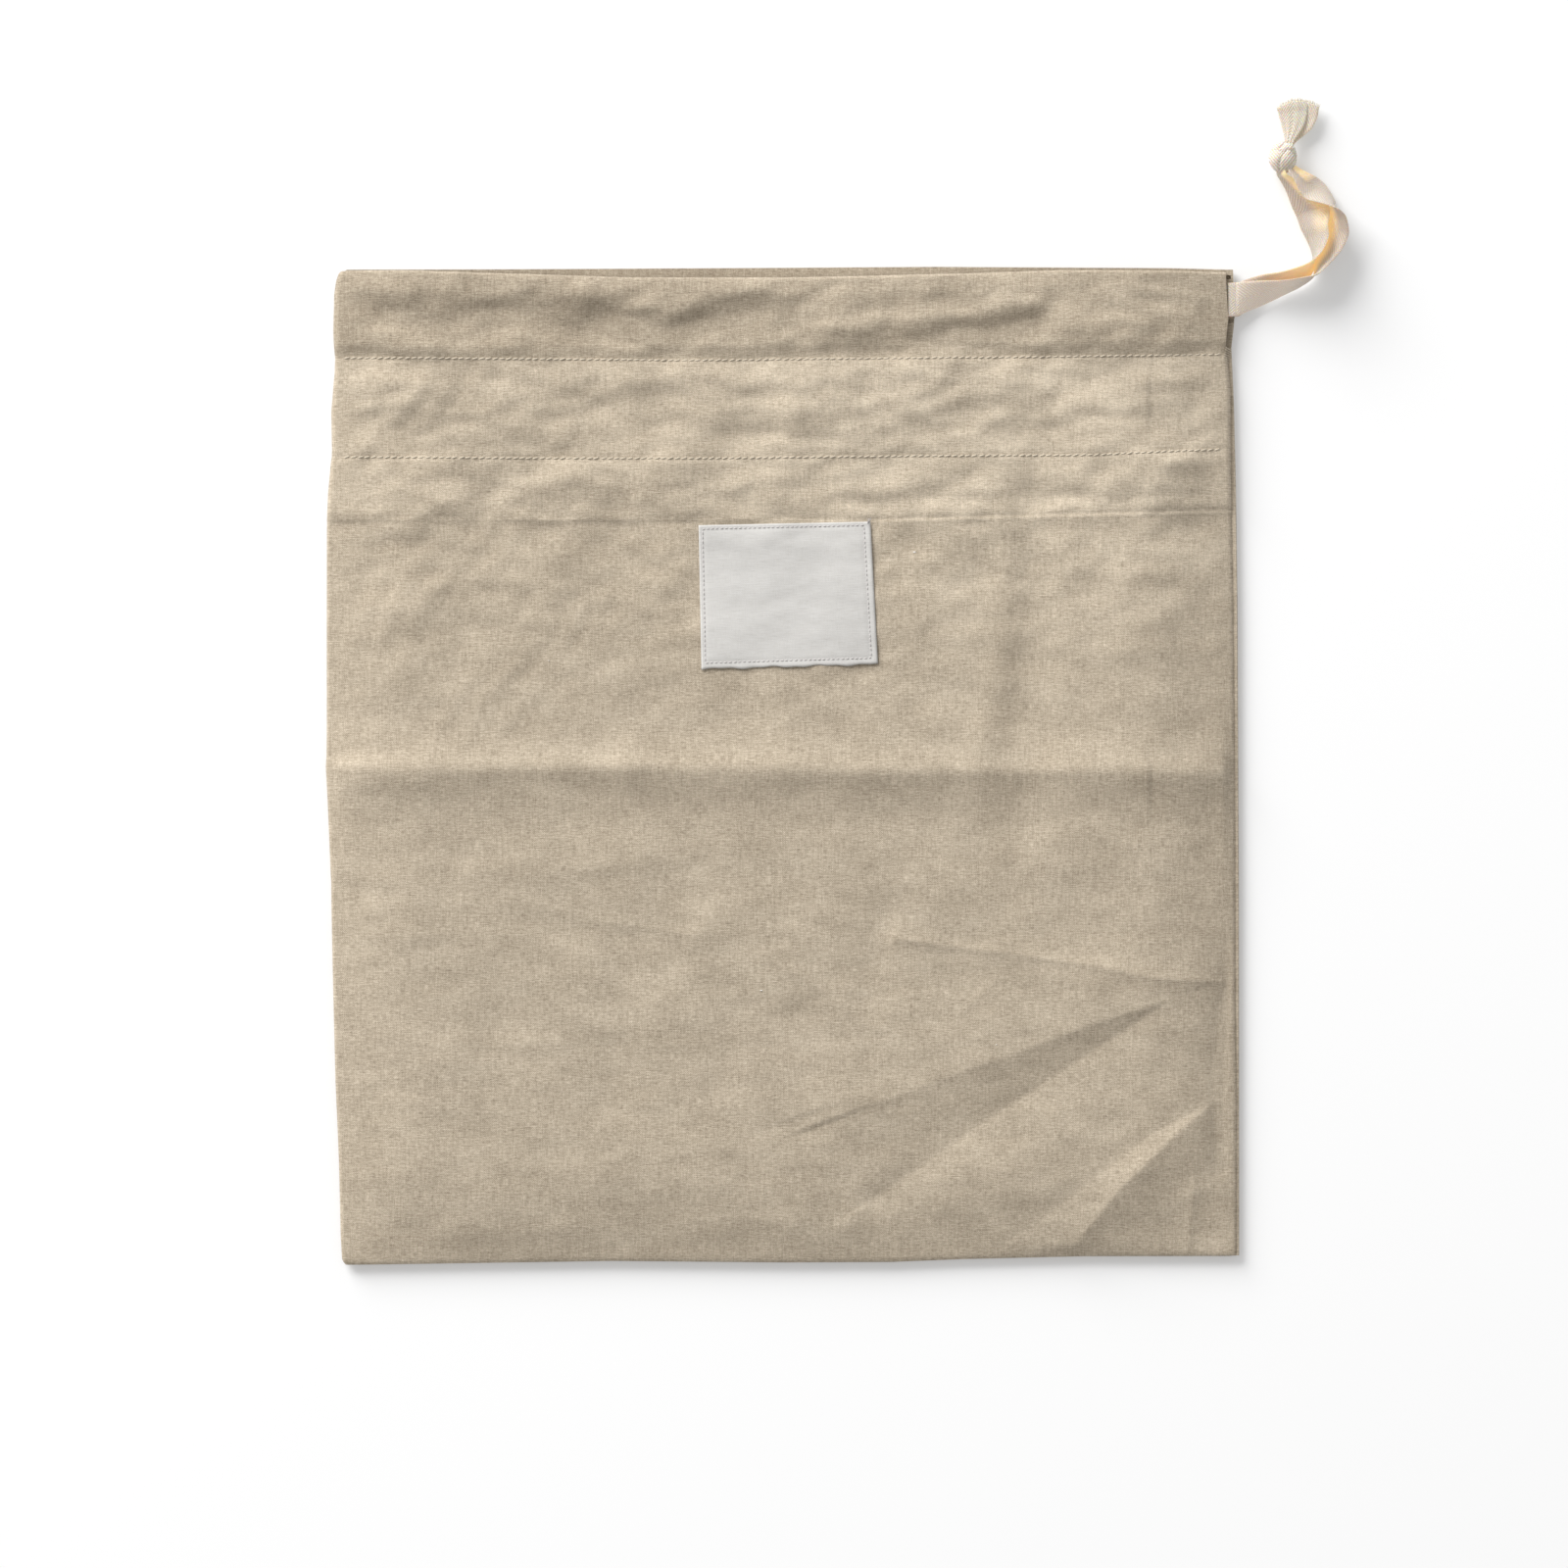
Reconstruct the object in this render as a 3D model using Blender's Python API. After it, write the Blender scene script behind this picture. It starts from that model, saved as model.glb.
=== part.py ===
"""Bread bag: a linen drawstring bag lying flat, with a sewn-on label and a knotted cotton tape.

Sizes are in metres. +X is the bag's right, +Y its mouth and +Z up from the table it lies on.
The origin is on the table, under the middle of the bag.
"""
import math

import bmesh
import bpy
import numpy as np
from mathutils import Vector

MM = 0.001

# Driving sizes of the cloth
PLY = 1.1 * MM
HEM_WALL = 1.9 * MM
BAND_WALL = 2.5 * MM
GAP_SIDE = 0.8 * MM
ROOF_FULL = 7.35 * MM
PUFF_RUN = 38 * MM
SEAM_EDGE = 1.3 * MM
SEAM_INSIDE = 5 * MM
SLIT_LEDGE = 3.1 * MM
SLIT_BOTTOM = 162.2 * MM
HEM_EASE = 2.5 * MM
BAND_EASE = 6 * MM
BOTTOM_ROUND = 4 * MM
RIGHT_ROUND = 3 * MM
RELIEF_FADE = 16 * MM
RELIEF_KNEE = -0.3
RELIEF_BELOW_KNEE = 0.25
FOLD_START = 4 * MM
FOLD_DEGREES = (-72, -40, -8, 24, 56)
FLAT_STEP = 0.05 * MM
EDGE_SET_BACK = 0.4 * MM
ABOVE_LEDGE = 0.2 * MM
LEDGE_STEP = 0.3 * MM
LEDGE_LEAST = 0.5 * MM
HOLLOW_INSET = 0.5 * MM
HOLLOW_MOUTH = 1 * MM
MOUTH_READ = 189 * MM
PAST_EDGE = 9 * MM

# Driving sizes of the channel, the tape and the label
CHANNEL = {"low": 164.5 * MM, "high": 187.6 * MM, "height": 1.3 * MM, "end": 171.4 * MM}
TAPE_WIDTH = 13 * MM
TAPE_THICKNESS = 0.6 * MM
TAPE_AXIS = 180.2 * MM
TOUCH = 0.3 * MM
LABEL_THICKNESS = 1.0 * MM
LABEL_LIFT = 0.5 * MM

# Grid of the front sheet and of the hollow inside it: rows below the hem, in it and in its band,
# rows beside the bottom seam and the mouth, and the straight sheet that the rows are first laid on
FRONT_COLUMNS = 46
FRONT_ROWS = {"body": 36, "hem": 8, "band": 6}
SEAM_ROWS = (0, 1.2 * MM, 3.6 * MM)
MOUTH_ROWS = (0.7 * MM, 0)
FIRST_ROW = 8 * MM
LAST_ROW = 2 * MM
SHEET_SIDES = (-170 * MM, 173 * MM)
HOLLOW_COLUMNS = 24
HOLLOW_ROWS = {"body": 19, "hem": 5, "band": 4}
LABEL_GRID = (11, 9)
CHANNEL_COLUMNS = 27
CHANNEL_BEND = 7

# Outline of the cloth in millimetres: place along the side, place across it
LEFT_FOLD = [(-192.0, -169.0), (-190.0, -170.2), (-181, -170.8), (-152, -171.6), (-121, -172.9),
             (-82, -173.9), (-45, -174.6), (1, -176.2), (61, -176.3), (92, -176.2), (106, -175.6),
             (122, -174.1), (137, -174.4), (152, -173.1), (157, -173.0), (168, -173.5), (182, -173.1),
             (187.5, -172.3), (190.3, -171.4), (192.5, -169.9)]
FRONT_RIGHT = [(-189, 174.6), (-130, 174.8), (-90, 174.2), (0, 174.0), (60, 173.4), (107, 172.6),
               (125, 172.4), (145, 172.4), (155, 171.4), (162, 170.5), (173, 171.6), (190, 170.6)]
BACK_RIGHT = [(-189, 176.0), (-45, 175.9), (60, 175.4), (107, 174.8), (140, 174.0), (162, 173.0),
              (173, 174.2), (192, 173.6)]
BOTTOM_SEAM = [(-172, -192.0), (-160, -191.9), (-67, -190.5), (0, -191.1), (40, -190.9),
               (68, -189.8), (114, -188.7), (170, -188.6), (176, -188.2)]
FRONT_TOP = [(-171, 191.2), (-150, 191.3), (-113, 190.2), (-60, 188.5), (-15, 188.4), (0, 188.4),
             (30, 189.0), (70, 190.0), (110, 191.3), (150, 191.2), (171, 190.6)]
BACK_TOP = [(-171, 191.9), (-113, 192.0), (0, 192.6), (60, 193.0), (110, 192.7), (150, 192.5),
            (174, 191.9)]
HEM_LINE = [(-176, 95.2), (38, 95.2), (76, 96.4), (172, 99.0)]
STITCH_LINE = [(-176, 157.8), (-38, 156.6), (138, 158.4), (172, 159.2)]

# Folds of the front: start and end of the line, height, and how far it falls off to its left and
# right, seen from its start, all in millimetres
FOLDS = {
    "pressed_middle_left": (-178, 1, -60, 0, 1.0, 9, 7),
    "pressed_middle_right": (-60, 0, 176, -1, 1.1, 10, 8),
    "side_trough_upper": (99, 140, 95, 40, -0.6, 14, 11),
    "side_trough_lower": (95, 40, 88, -24, -0.7, 14, 11),
    "thin_ridge": (44, -66, 169, -83, 0.8, 6, 7),
    "long_facet_top": (147, -89, 26, -128, 1.1, 8, 16),
    "long_facet_low": (148, -90, 34, -167, -0.6, 9, 6),
    "corner_facet_top": (160, -132, 94, -177, -0.5, 5, 6),
    "corner_facet_low": (166, -130, 114, -184, 0.9, 9, 6),
    "small_corner_crease": (158, -163, 155, -188, 0.5, 5, 5),
    "label_crease": (0, 138, 1, 96, 0.3, 8, 8),
    "middle_crease": (-1, 36, -1, 2, 0.35, 8, 8),
    "band_wave_left": (-170, 181, -75, 171, -0.5, 10, 12),
    "band_wave_middle": (-75, 171, -20, 174, -0.6, 11, 11),
    "band_wave_right": (20, 163, 98, 166, -0.45, 10, 9),
    "band_swell": (-60, 184, -20, 186, 0.5, 8, 8),
    "low_ripple_left": (-119, -42, -55, -36, 0.4, 9, 9),
    "low_ripple_middle": (-31, -63, -9, -51, 0.4, 8, 8),
    "low_ripple_right": (-9, -72, 36, -101, 0.4, 9, 9),
    "seam_pucker": (174, -73, 167, -128, 0.5, 5, 5),
}

# Soft waves all over the front: length, heading in degrees, height in millimetres and start
WAVES = [
    {"length": 83, "heading": 24, "height": 0.16, "start": 0.4},
    {"length": 61, "heading": 112, "height": 0.14, "start": 2.1},
    {"length": 47, "heading": 63, "height": 0.12, "start": 4.0},
    {"length": 38, "heading": 158, "height": 0.10, "start": 1.3},
    {"length": 29, "heading": 28, "height": 0.07, "start": 5.2},
]

# Label corners in millimetres, from its lower left
LABEL_CORNERS = [(-31.4, 37.7), (36.6, 39.6), (33.7, 94.5), (-32.5, 93.1)]

# Tape sections in millimetres: foot edge x and y, head edge x and y, height of the foot edge,
# width and hollow of the section
UPPER_TAPE = [
    (171.7, 173.7, 171.7, 186.7, 4.55, 13.0, 0.0),
    (174.6, 173.9, 174.8, 186.9, 4.2, 13.0, 0.0),
    (178.5, 175.4, 179.2, 187.1, 2.6, 13.0, 0.2),
    (185.0, 178.3, 185.8, 187.1, 1.1, 13.0, 0.3),
    (193.7, 182.3, 193.8, 187.4, 0.5, 13.0, 0.3),
    (200.2, 185.8, 199.9, 188.1, 0.5, 13.0, 0.3),
    (205.2, 189.6, 205.3, 189.5, 0.5, 13.0, 0.3),
    (205.4, 194.8, 209.4, 192.8, 0.5, 13.0, 0.4),
    (206.2, 199.0, 213.4, 197.0, 0.5, 13.0, 0.5),
    (207.2, 203.0, 216.4, 201.8, 0.5, 13.0, 0.5),
    (208.1, 206.9, 217.8, 205.7, 0.5, 13.0, 0.4),
    (208.9, 210.1, 217.4, 209.1, 0.5, 13.0, 0.2),
    (210.2, 213.0, 216.3, 212.0, 0.5, 13.0, 0.0),
    (211.9, 215.4, 214.0, 214.1, 0.5, 13.0, -0.2),
    (213.2, 217.5, 210.0, 215.9, 0.5, 13.0, -0.4),
    (211.9, 220.9, 205.5, 217.5, 0.6, 12.6, -0.6),
    (209.3, 224.7, 201.3, 219.0, 1.0, 12.0, -0.7),
    (205.9, 227.7, 198.9, 222.0, 1.5, 10.8, -0.7),
    (201.7, 229.8, 197.0, 225.8, 2.2, 8.6, -0.5),
    (197.8, 231.8, 195.0, 229.3, 3.2, 6.0, -0.2),
]
LOWER_TAPE = [
    (171.7, 173.7, 171.7, 186.7, 1.25, 13.0, 0.0),
    (175.6, 174.0, 175.6, 187.0, 1.15, 13.0, 0.0),
    (179.6, 176.4, 179.8, 188.4, 0.6, 13.0, 0.0),
    (185.8, 180.4, 185.8, 189.7, 0.5, 13.0, 0.2),
    (193.7, 184.2, 193.0, 190.8, 0.5, 13.0, 0.3),
    (200.2, 187.6, 198.6, 192.4, 0.5, 13.0, 0.3),
    (204.1, 191.5, 203.4, 194.8, 0.5, 13.0, 0.3),
    (204.2, 196.6, 207.2, 198.2, 0.5, 13.0, 0.3),
    (203.4, 200.6, 209.0, 201.6, 0.5, 13.0, 0.4),
    (201.7, 204.4, 210.0, 205.0, 0.5, 13.0, 0.5),
    (199.8, 208.2, 209.8, 208.8, 0.5, 13.0, 0.6),
    (198.4, 212.0, 209.6, 213.8, 0.5, 12.4, 0.8),
    (196.4, 216.4, 207.4, 219.2, 0.6, 12.2, 0.8),
    (194.3, 222.0, 201.2, 223.5, 0.9, 7.7, 0.6),
    (192.0, 226.2, 197.0, 226.7, 1.6, 6.2, 0.4),
    (190.6, 229.0, 193.6, 228.8, 2.4, 6.0, 0.2),
]
UPPER_TAIL = [
    (193.4, 241.2, 196.9, 241.2, 5.2, 3.7, 0.2),
    (193.0, 244.2, 198.9, 244.2, 4.6, 6.0, 0.2),
    (192.2, 247.8, 201.4, 248.0, 3.6, 9.3, 0.2),
    (191.3, 251.4, 203.0, 252.4, 2.7, 11.8, 0.1),
    (190.8, 253.9, 203.6, 255.9, 2.5, 13.0, 0.1),
]
LOWER_TAIL = [
    (194.0, 240.5, 197.2, 240.4, 2.9, 3.6, 0.0),
    (195.0, 243.8, 200.6, 243.4, 1.8, 5.8, 0.0),
    (195.4, 247.2, 204.0, 246.4, 0.9, 8.8, 0.0),
    (195.2, 251.0, 206.0, 250.4, 0.5, 10.9, 0.0),
    (194.8, 254.4, 206.8, 254.6, 0.5, 12.05, 0.0),
]
TAPE_STEPS = 3
TAPE_ACROSS = 4

# Knot: middle, half sizes, and lobes as heading, tilt, reach and height
KNOT_MIDDLE = (192.7 * MM, 235.0 * MM, 4.9 * MM)
KNOT_HALF = (4.7 * MM, 5.6 * MM, 4.6 * MM)
KNOT_LOBES = [
    {"heading": 200, "tilt": 25, "reach": 0.7, "height": 0.12},
    {"heading": 55, "tilt": 35, "reach": 0.6, "height": 0.14},
    {"heading": 320, "tilt": 10, "reach": 0.55, "height": 0.10},
    {"heading": 120, "tilt": -20, "reach": 0.6, "height": 0.10},
    {"heading": 60, "tilt": 75, "reach": 0.32, "height": -0.14},
]


def ease(value):
    """Smooth step from 0 to 1."""
    t = min(max(value, 0.0), 1.0)
    return t * t * (3 - 2 * t)


def swell(value):
    """Quarter of a sine: rises at once and levels off."""
    return math.sin(math.pi / 2 * min(max(value, 0.0), 1.0))


def round_edge(distance, radius):
    """Height share of a rounded edge, at a distance in from it."""
    t = min(max(distance / radius, 0.0), 1.0)
    return math.sqrt(1 - (1 - t) ** 2)


def side(table, place):
    """Reads an outline table at a place in metres."""
    along, across = zip(*table)
    return float(np.interp(place / MM, along, across)) * MM


def wall(x, y):
    """Thickness of the cloth: one ply, then the hem, then the band with the channel."""
    hem = ease((y - side(HEM_LINE, x)) / HEM_EASE)
    band = ease((y - side(STITCH_LINE, x)) / BAND_EASE)
    return PLY + (HEM_WALL - PLY) * hem + (BAND_WALL - HEM_WALL) * band


def fold_height(fold, x, y):
    """Height that one fold adds at a point, all in millimetres."""
    x0, y0, x1, y1, height, left, right = fold
    run = math.hypot(x1 - x0, y1 - y0)
    ux, uy = (x1 - x0) / run, (y1 - y0) / run
    along = (x - x0) * ux + (y - y0) * uy
    across = (y - y0) * ux - (x - x0) * uy
    reach = left if across > 0 else right
    past = max(-along, along - run, 0.0)
    return height * math.exp(-(across / reach) ** 2 - (past / (0.8 * reach)) ** 2)


def wave_height(wave, x, y):
    """Height of one soft wave at a point, all in millimetres."""
    heading = math.radians(wave["heading"])
    run = x * math.cos(heading) + y * math.sin(heading)
    return wave["height"] * math.sin(2 * math.pi * run / wave["length"] + wave["start"])


def relief(x, y):
    """Folds and waves of the front, fading out at the cloth's edges."""
    mm_x, mm_y = x / MM, y / MM
    total = sum(fold_height(fold, mm_x, mm_y) for fold in FOLDS.values())
    total += sum(wave_height(wave, mm_x, mm_y) for wave in WAVES)
    if total < RELIEF_KNEE:
        below = (RELIEF_KNEE - total) / RELIEF_BELOW_KNEE
        total = RELIEF_KNEE - RELIEF_BELOW_KNEE * math.tanh(below)
    nearest = min(x - side(LEFT_FOLD, y), side(FRONT_RIGHT, y) - x, y - side(BOTTOM_SEAM, x),
                  side(FRONT_TOP, x) - y + RELIEF_FADE / 2)
    return total * MM * ease(nearest / RELIEF_FADE)


def puff(x, y):
    """How far the front stands off the back: 0 at the fold and the seams, 1 in the middle."""
    share = swell((x - side(LEFT_FOLD, y)) / PUFF_RUN)
    share *= swell((side(FRONT_RIGHT, y) - x) / PUFF_RUN)
    return share * swell((y - side(BOTTOM_SEAM, x)) / PUFF_RUN)


def roof(x, y):
    """Inner face of the front."""
    shut = wall(x, y) + GAP_SIDE
    return shut + (ROOF_FULL - shut) * puff(x, y) + relief(x, y)


def front(x, y):
    """Outer face of the front."""
    return roof(x, y) + wall(x, y)


def link(mesh, a, b, flip=False):
    """Joins two rows of vertices with quads."""
    for k in range(len(a) - 1):
        quad = (a[k], a[k + 1], b[k + 1], b[k])
        mesh.faces.new(quad[::-1] if flip else quad)


def sheet_solid(name, upper, lower):
    """Closed solid between two grids of points with the same rows and columns."""
    mesh = bmesh.new()
    top = [[mesh.verts.new(point) for point in row] for row in upper]
    under = [[mesh.verts.new(point) for point in row] for row in lower]
    for j in range(len(top) - 1):
        link(mesh, top[j], top[j + 1])
        link(mesh, under[j], under[j + 1], flip=True)
    link(mesh, under[0], top[0])
    link(mesh, under[-1], top[-1], flip=True)
    link(mesh, [row[0] for row in under], [row[0] for row in top], flip=True)
    link(mesh, [row[-1] for row in under], [row[-1] for row in top])
    return finish_mesh(name, mesh)


def finish_mesh(name, mesh):
    """Turns a bmesh into a linked object with its faces pointing out."""
    bmesh.ops.recalc_face_normals(mesh, faces=mesh.faces)
    data = bpy.data.meshes.new(name)
    mesh.to_mesh(data)
    mesh.free()
    piece = bpy.data.objects.new(name, data)
    bpy.context.collection.objects.link(piece)
    return piece


def paint(piece, name, colour, roughness):
    """Gives a piece its own material."""
    material = bpy.data.materials.new(name)
    material.use_nodes = True
    shader = material.node_tree.nodes["Principled BSDF"]
    shader.inputs["Base Color"].default_value = (*colour, 1)
    shader.inputs["Roughness"].default_value = roughness
    shader.inputs["Metallic"].default_value = 0
    piece.data.materials.append(material)


def spread(start, end, count):
    """Evenly spaced values, both ends included."""
    return [start + (end - start) * k / (count - 1) for k in range(count)]


def zone_places(x, low, high, rows):
    """Places up the bag at x, with a row at each end of the hem's step and of the band's."""
    hem = side(HEM_LINE, x)
    band = side(STITCH_LINE, x)
    return (spread(low, hem, rows["body"]) + spread(hem + HEM_EASE, band, rows["hem"])
            + spread(band + BAND_EASE, high, rows["band"]))


def row_places(x):
    """Places of the outer skin's rows up the bag at x; the last two are the back's ledge."""
    low = side(BOTTOM_SEAM, x)
    high = side(FRONT_TOP, x)
    inner = zone_places(x, low + FIRST_ROW, high - LAST_ROW, FRONT_ROWS)
    seam = [low + step for step in SEAM_ROWS]
    mouth = [high - step for step in MOUTH_ROWS]
    ledge = [high + LEDGE_STEP, max(side(BACK_TOP, x), high + LEDGE_LEAST)]
    return seam + inner + mouth + ledge


def front_point(x, y, dropped):
    """Point of the outer skin, rounded down to the seams and stepped down to the back's ledge."""
    in_slit = y > SLIT_BOTTOM
    ledge = SLIT_LEDGE if in_slit else SEAM_EDGE
    if dropped:
        return Vector((x, y, ledge))
    low = round_edge(y - side(BOTTOM_SEAM, x), BOTTOM_ROUND)
    right = round_edge(side(FRONT_RIGHT, y) - x + EDGE_SET_BACK, RIGHT_ROUND)
    share = low if in_slit else low * right
    height = SEAM_EDGE + (front(x, y) - SEAM_EDGE) * share
    return Vector((x, y, max(height, ledge + ABOVE_LEDGE)))


def fold_radius(y):
    """Half the height of the folded left side."""
    return front(side(LEFT_FOLD, y) + FOLD_START, y) / 2


def fold_arc(y, height):
    """Points round the folded left side, from under the bag to its top."""
    half = height / 2
    left = side(LEFT_FOLD, y)
    angles = [math.radians(degrees) for degrees in FOLD_DEGREES]
    return [Vector((left + half * (1 - math.cos(a)), y, half * (1 + math.sin(a)))) for a in angles]


def flat_under(row):
    """Points on the table under a row of the skin, with those of the fold drawn in beside it."""
    flat = [Vector((point.x, point.y, 0)) for point in row]
    for k in range(len(FOLD_DEGREES)):
        flat[k].x = row[len(FOLD_DEGREES)].x + (k - len(FOLD_DEGREES)) * FLAT_STEP
    return flat


def outer_skin():
    """Rows of points over the whole outside of the front, fold and ledges included."""
    shares = spread(0, 1, FRONT_COLUMNS)
    columns = [row_places(x) for x in spread(*SHEET_SIDES, FRONT_COLUMNS)]
    last_of_front = len(columns[0]) - 3
    upper, lower = [], []
    for j in range(len(columns[0])):
        points = []
        for share, places in zip(shares, columns):
            y = places[j]
            start = side(LEFT_FOLD, y) + fold_radius(y)
            x = start + (side(FRONT_RIGHT, y) - start) * share
            points.append(front_point(x, y, j > last_of_front))
        y = points[-1].y
        ledge = [front_point(side(FRONT_RIGHT, y) + LEDGE_STEP, y, True),
                 front_point(side(BACK_RIGHT, y), y, True)]
        upper.append(fold_arc(points[0].y, points[0].z) + points + ledge)
        lower.append(flat_under(upper[-1]))
    return upper, lower


def hollow_solid():
    """The space inside the bag, running out through the mouth and the slit."""
    low = side(BOTTOM_SEAM, 0) + SEAM_INSIDE
    places = zone_places(0, low, side(FRONT_TOP, 0) - HOLLOW_MOUTH, HOLLOW_ROWS)
    places += [SLIT_BOTTOM - HOLLOW_INSET, SLIT_BOTTOM, side(BACK_TOP, 0) + PAST_EDGE]
    upper, lower = [], []
    for y in sorted(places):
        left = side(LEFT_FOLD, y) + wall(side(LEFT_FOLD, y), y) + HOLLOW_INSET
        right = side(FRONT_RIGHT, y) - SEAM_INSIDE
        columns = spread(left, right, HOLLOW_COLUMNS)
        columns.append(side(BACK_RIGHT, y) + PAST_EDGE if y >= SLIT_BOTTOM else right + HOLLOW_INSET)
        under, over = [], []
        for x in columns:
            inside = max(y, side(BOTTOM_SEAM, x) + SEAM_INSIDE)
            under.append(Vector((x, inside, wall(x, y))))
            over.append(Vector((x, inside, roof(min(x, right + FOLD_START), min(y, MOUTH_READ)))))
        lower.append(under)
        upper.append(over)
    return sheet_solid("bag_hollow", upper, lower)


def channel_route(y, past):
    """Middle of the cloth along the channel: front from the slit, round the fold, and the back."""
    half = fold_radius(y)
    bend = side(LEFT_FOLD, y) + half
    up, down = Vector((0, 0, 1)), Vector((0, 0, -1))
    points = []
    for x in spread(CHANNEL["end"], bend + FOLD_START / 2, CHANNEL_COLUMNS):
        inside = min(x, side(FRONT_RIGHT, y))
        points.append((Vector((x, y, front(inside, y) - wall(inside, y) / 2)), up))
    for degrees in spread(80, -80, CHANNEL_BEND):
        a = math.radians(degrees)
        out = Vector((-math.cos(a), 0, math.sin(a)))
        points.append((Vector((bend, y, half)) + (half - BAND_WALL / 2) * out, out))
    for x in (bend + FOLD_START / 2, 0, CHANNEL["end"]):
        points.append((Vector((x, y, BAND_WALL / 2)), down))
    if past:
        beyond = Vector((past, 0, 0))
        points.insert(0, (points[0][0] + beyond, up))
        points.append((points[-1][0] + beyond, down))
    return points


def tape_places():
    """Places up the bag of the tape's two edges and its middle, inside the channel."""
    return [TAPE_AXIS - TAPE_WIDTH / 2, TAPE_AXIS, TAPE_AXIS + TAPE_WIDTH / 2]


def band_solid(name, places, height, past=0):
    """Flat solid along the channel, as wide as its places up the bag."""
    routes = [channel_route(y, past) for y in places]
    outer = [[point + out * height / 2 for point, out in route] for route in routes]
    inner = [[point - out * height / 2 for point, out in route] for route in routes]
    return sheet_solid(name, outer, inner)


def cut(piece, cutter):
    """Takes the cutter out of the piece."""
    cutter.hide_render = True
    cutter.display_type = "WIRE"
    modifier = piece.modifiers.new(cutter.name, "BOOLEAN")
    modifier.operation = "DIFFERENCE"
    modifier.solver = "EXACT"
    modifier.object = cutter


def make_bag():
    """Cloth of the bag, with its hollow and its channel."""
    upper, lower = outer_skin()
    bag = sheet_solid("bag_body", upper, lower)
    paint(bag, "linen", (0.53, 0.45, 0.36), 0.9)
    cut(bag, hollow_solid())
    places = [CHANNEL["low"]] + tape_places() + [CHANNEL["high"]]
    cut(bag, band_solid("bag_channel", places, CHANNEL["height"], PAST_EDGE))
    return bag


def make_label():
    """Woven patch that lies on the front."""
    corners = [Vector((x * MM, y * MM)) for x, y in LABEL_CORNERS]
    upper, lower = [], []
    for v in spread(0, 1, LABEL_GRID[1]):
        left = corners[0].lerp(corners[3], v)
        right = corners[1].lerp(corners[2], v)
        points = [left.lerp(right, u) for u in spread(0, 1, LABEL_GRID[0])]
        lower.append([Vector((p.x, p.y, front(p.x, p.y) + LABEL_LIFT)) for p in points])
        upper.append([point + Vector((0, 0, LABEL_THICKNESS)) for point in lower[-1]])
    label = sheet_solid("label", upper, lower)
    paint(label, "label_weave", (0.77, 0.75, 0.71), 0.85)


def smooth_rows(rows, steps):
    """Reads a Catmull-Rom curve through the rows of a table."""
    data = np.array(rows, float)
    padded = np.vstack([2 * data[0] - data[1], data, 2 * data[-1] - data[-2]])
    result = []
    for k in range(1, len(padded) - 2):
        p0, p1, p2, p3 = padded[k - 1:k + 3]
        for step in range(steps):
            t = step / steps
            result.append(0.5 * (2 * p1 + (p2 - p0) * t + (2 * p0 - 5 * p1 + 4 * p2 - p3) * t ** 2
                                 + (3 * p1 - p0 - 3 * p2 + p3) * t ** 3))
    return result + [data[-1]]


def tape_section(row):
    """Foot edge and head edge of a tape section, in metres."""
    foot_x, foot_y, head_x, head_y, foot_z, width, hollow = (value * MM for value in row)
    flat = math.hypot(head_x - foot_x, head_y - foot_y)
    rise = math.sqrt(max(width ** 2 - flat ** 2, 0))
    foot = Vector((foot_x, foot_y, foot_z))
    head = Vector((head_x, head_y, foot_z + rise))
    middle = (foot + head) / 2
    across = (head - foot).normalized() * width / 2
    return middle, across, hollow


def make_tape(name, table):
    """Ribbon that follows the sections of a table."""
    sections = [tape_section(row) for row in smooth_rows(table, TAPE_STEPS)]
    upper, lower = [], []
    for k, (middle, across, hollow) in enumerate(sections):
        before = sections[max(k - 1, 0)][0]
        after = sections[min(k + 1, len(sections) - 1)][0]
        normal = (after - before).cross(across).normalized()
        top_row, under_row = [], []
        for s in spread(-1, 1, TAPE_ACROSS + 1):
            point = middle + across * s - normal * hollow * (1 - s * s)
            top_row.append(point + normal * TAPE_THICKNESS / 2)
            under_row.append(point - normal * TAPE_THICKNESS / 2)
        upper.append(top_row)
        lower.append(under_row)
    tape = sheet_solid(name, upper, lower)
    paint(tape, name + "_cotton", (0.72, 0.65, 0.53), 0.85)


def make_channel_tape():
    """The stretch of the tape that runs inside the channel."""
    tape = band_solid("tape_in_channel", tape_places(), TAPE_THICKNESS)
    paint(tape, "tape_in_channel_cotton", (0.72, 0.65, 0.53), 0.85)


def make_knot():
    """Overhand knot of both tapes, as a lobed ball."""
    mesh = bmesh.new()
    bmesh.ops.create_icosphere(mesh, subdivisions=3, radius=1)
    for vert in mesh.verts:
        direction = vert.co.normalized()
        size = 1.0
        for lobe in KNOT_LOBES:
            heading, tilt = math.radians(lobe["heading"]), math.radians(lobe["tilt"])
            toward = Vector((math.cos(heading) * math.cos(tilt), math.sin(heading) * math.cos(tilt),
                             math.sin(tilt)))
            size += lobe["height"] * math.exp(-((direction - toward).length / lobe["reach"]) ** 2)
        vert.co = Vector([KNOT_MIDDLE[k] + KNOT_HALF[k] * direction[k] * size for k in range(3)])
        vert.co.z = max(vert.co.z, TOUCH)
    knot = finish_mesh("tape_knot", mesh)
    paint(knot, "knot_cotton", (0.75, 0.70, 0.60), 0.85)


def main():
    """Clears the scene and makes the bag, its label and its tape."""
    for old in list(bpy.data.objects):
        bpy.data.objects.remove(old)
    make_bag()
    make_label()
    make_channel_tape()
    make_tape("tape_upper", UPPER_TAPE)
    make_tape("tape_lower", LOWER_TAPE)
    make_tape("tail_upper", UPPER_TAIL)
    make_tape("tail_lower", LOWER_TAIL)
    make_knot()


main()
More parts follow.
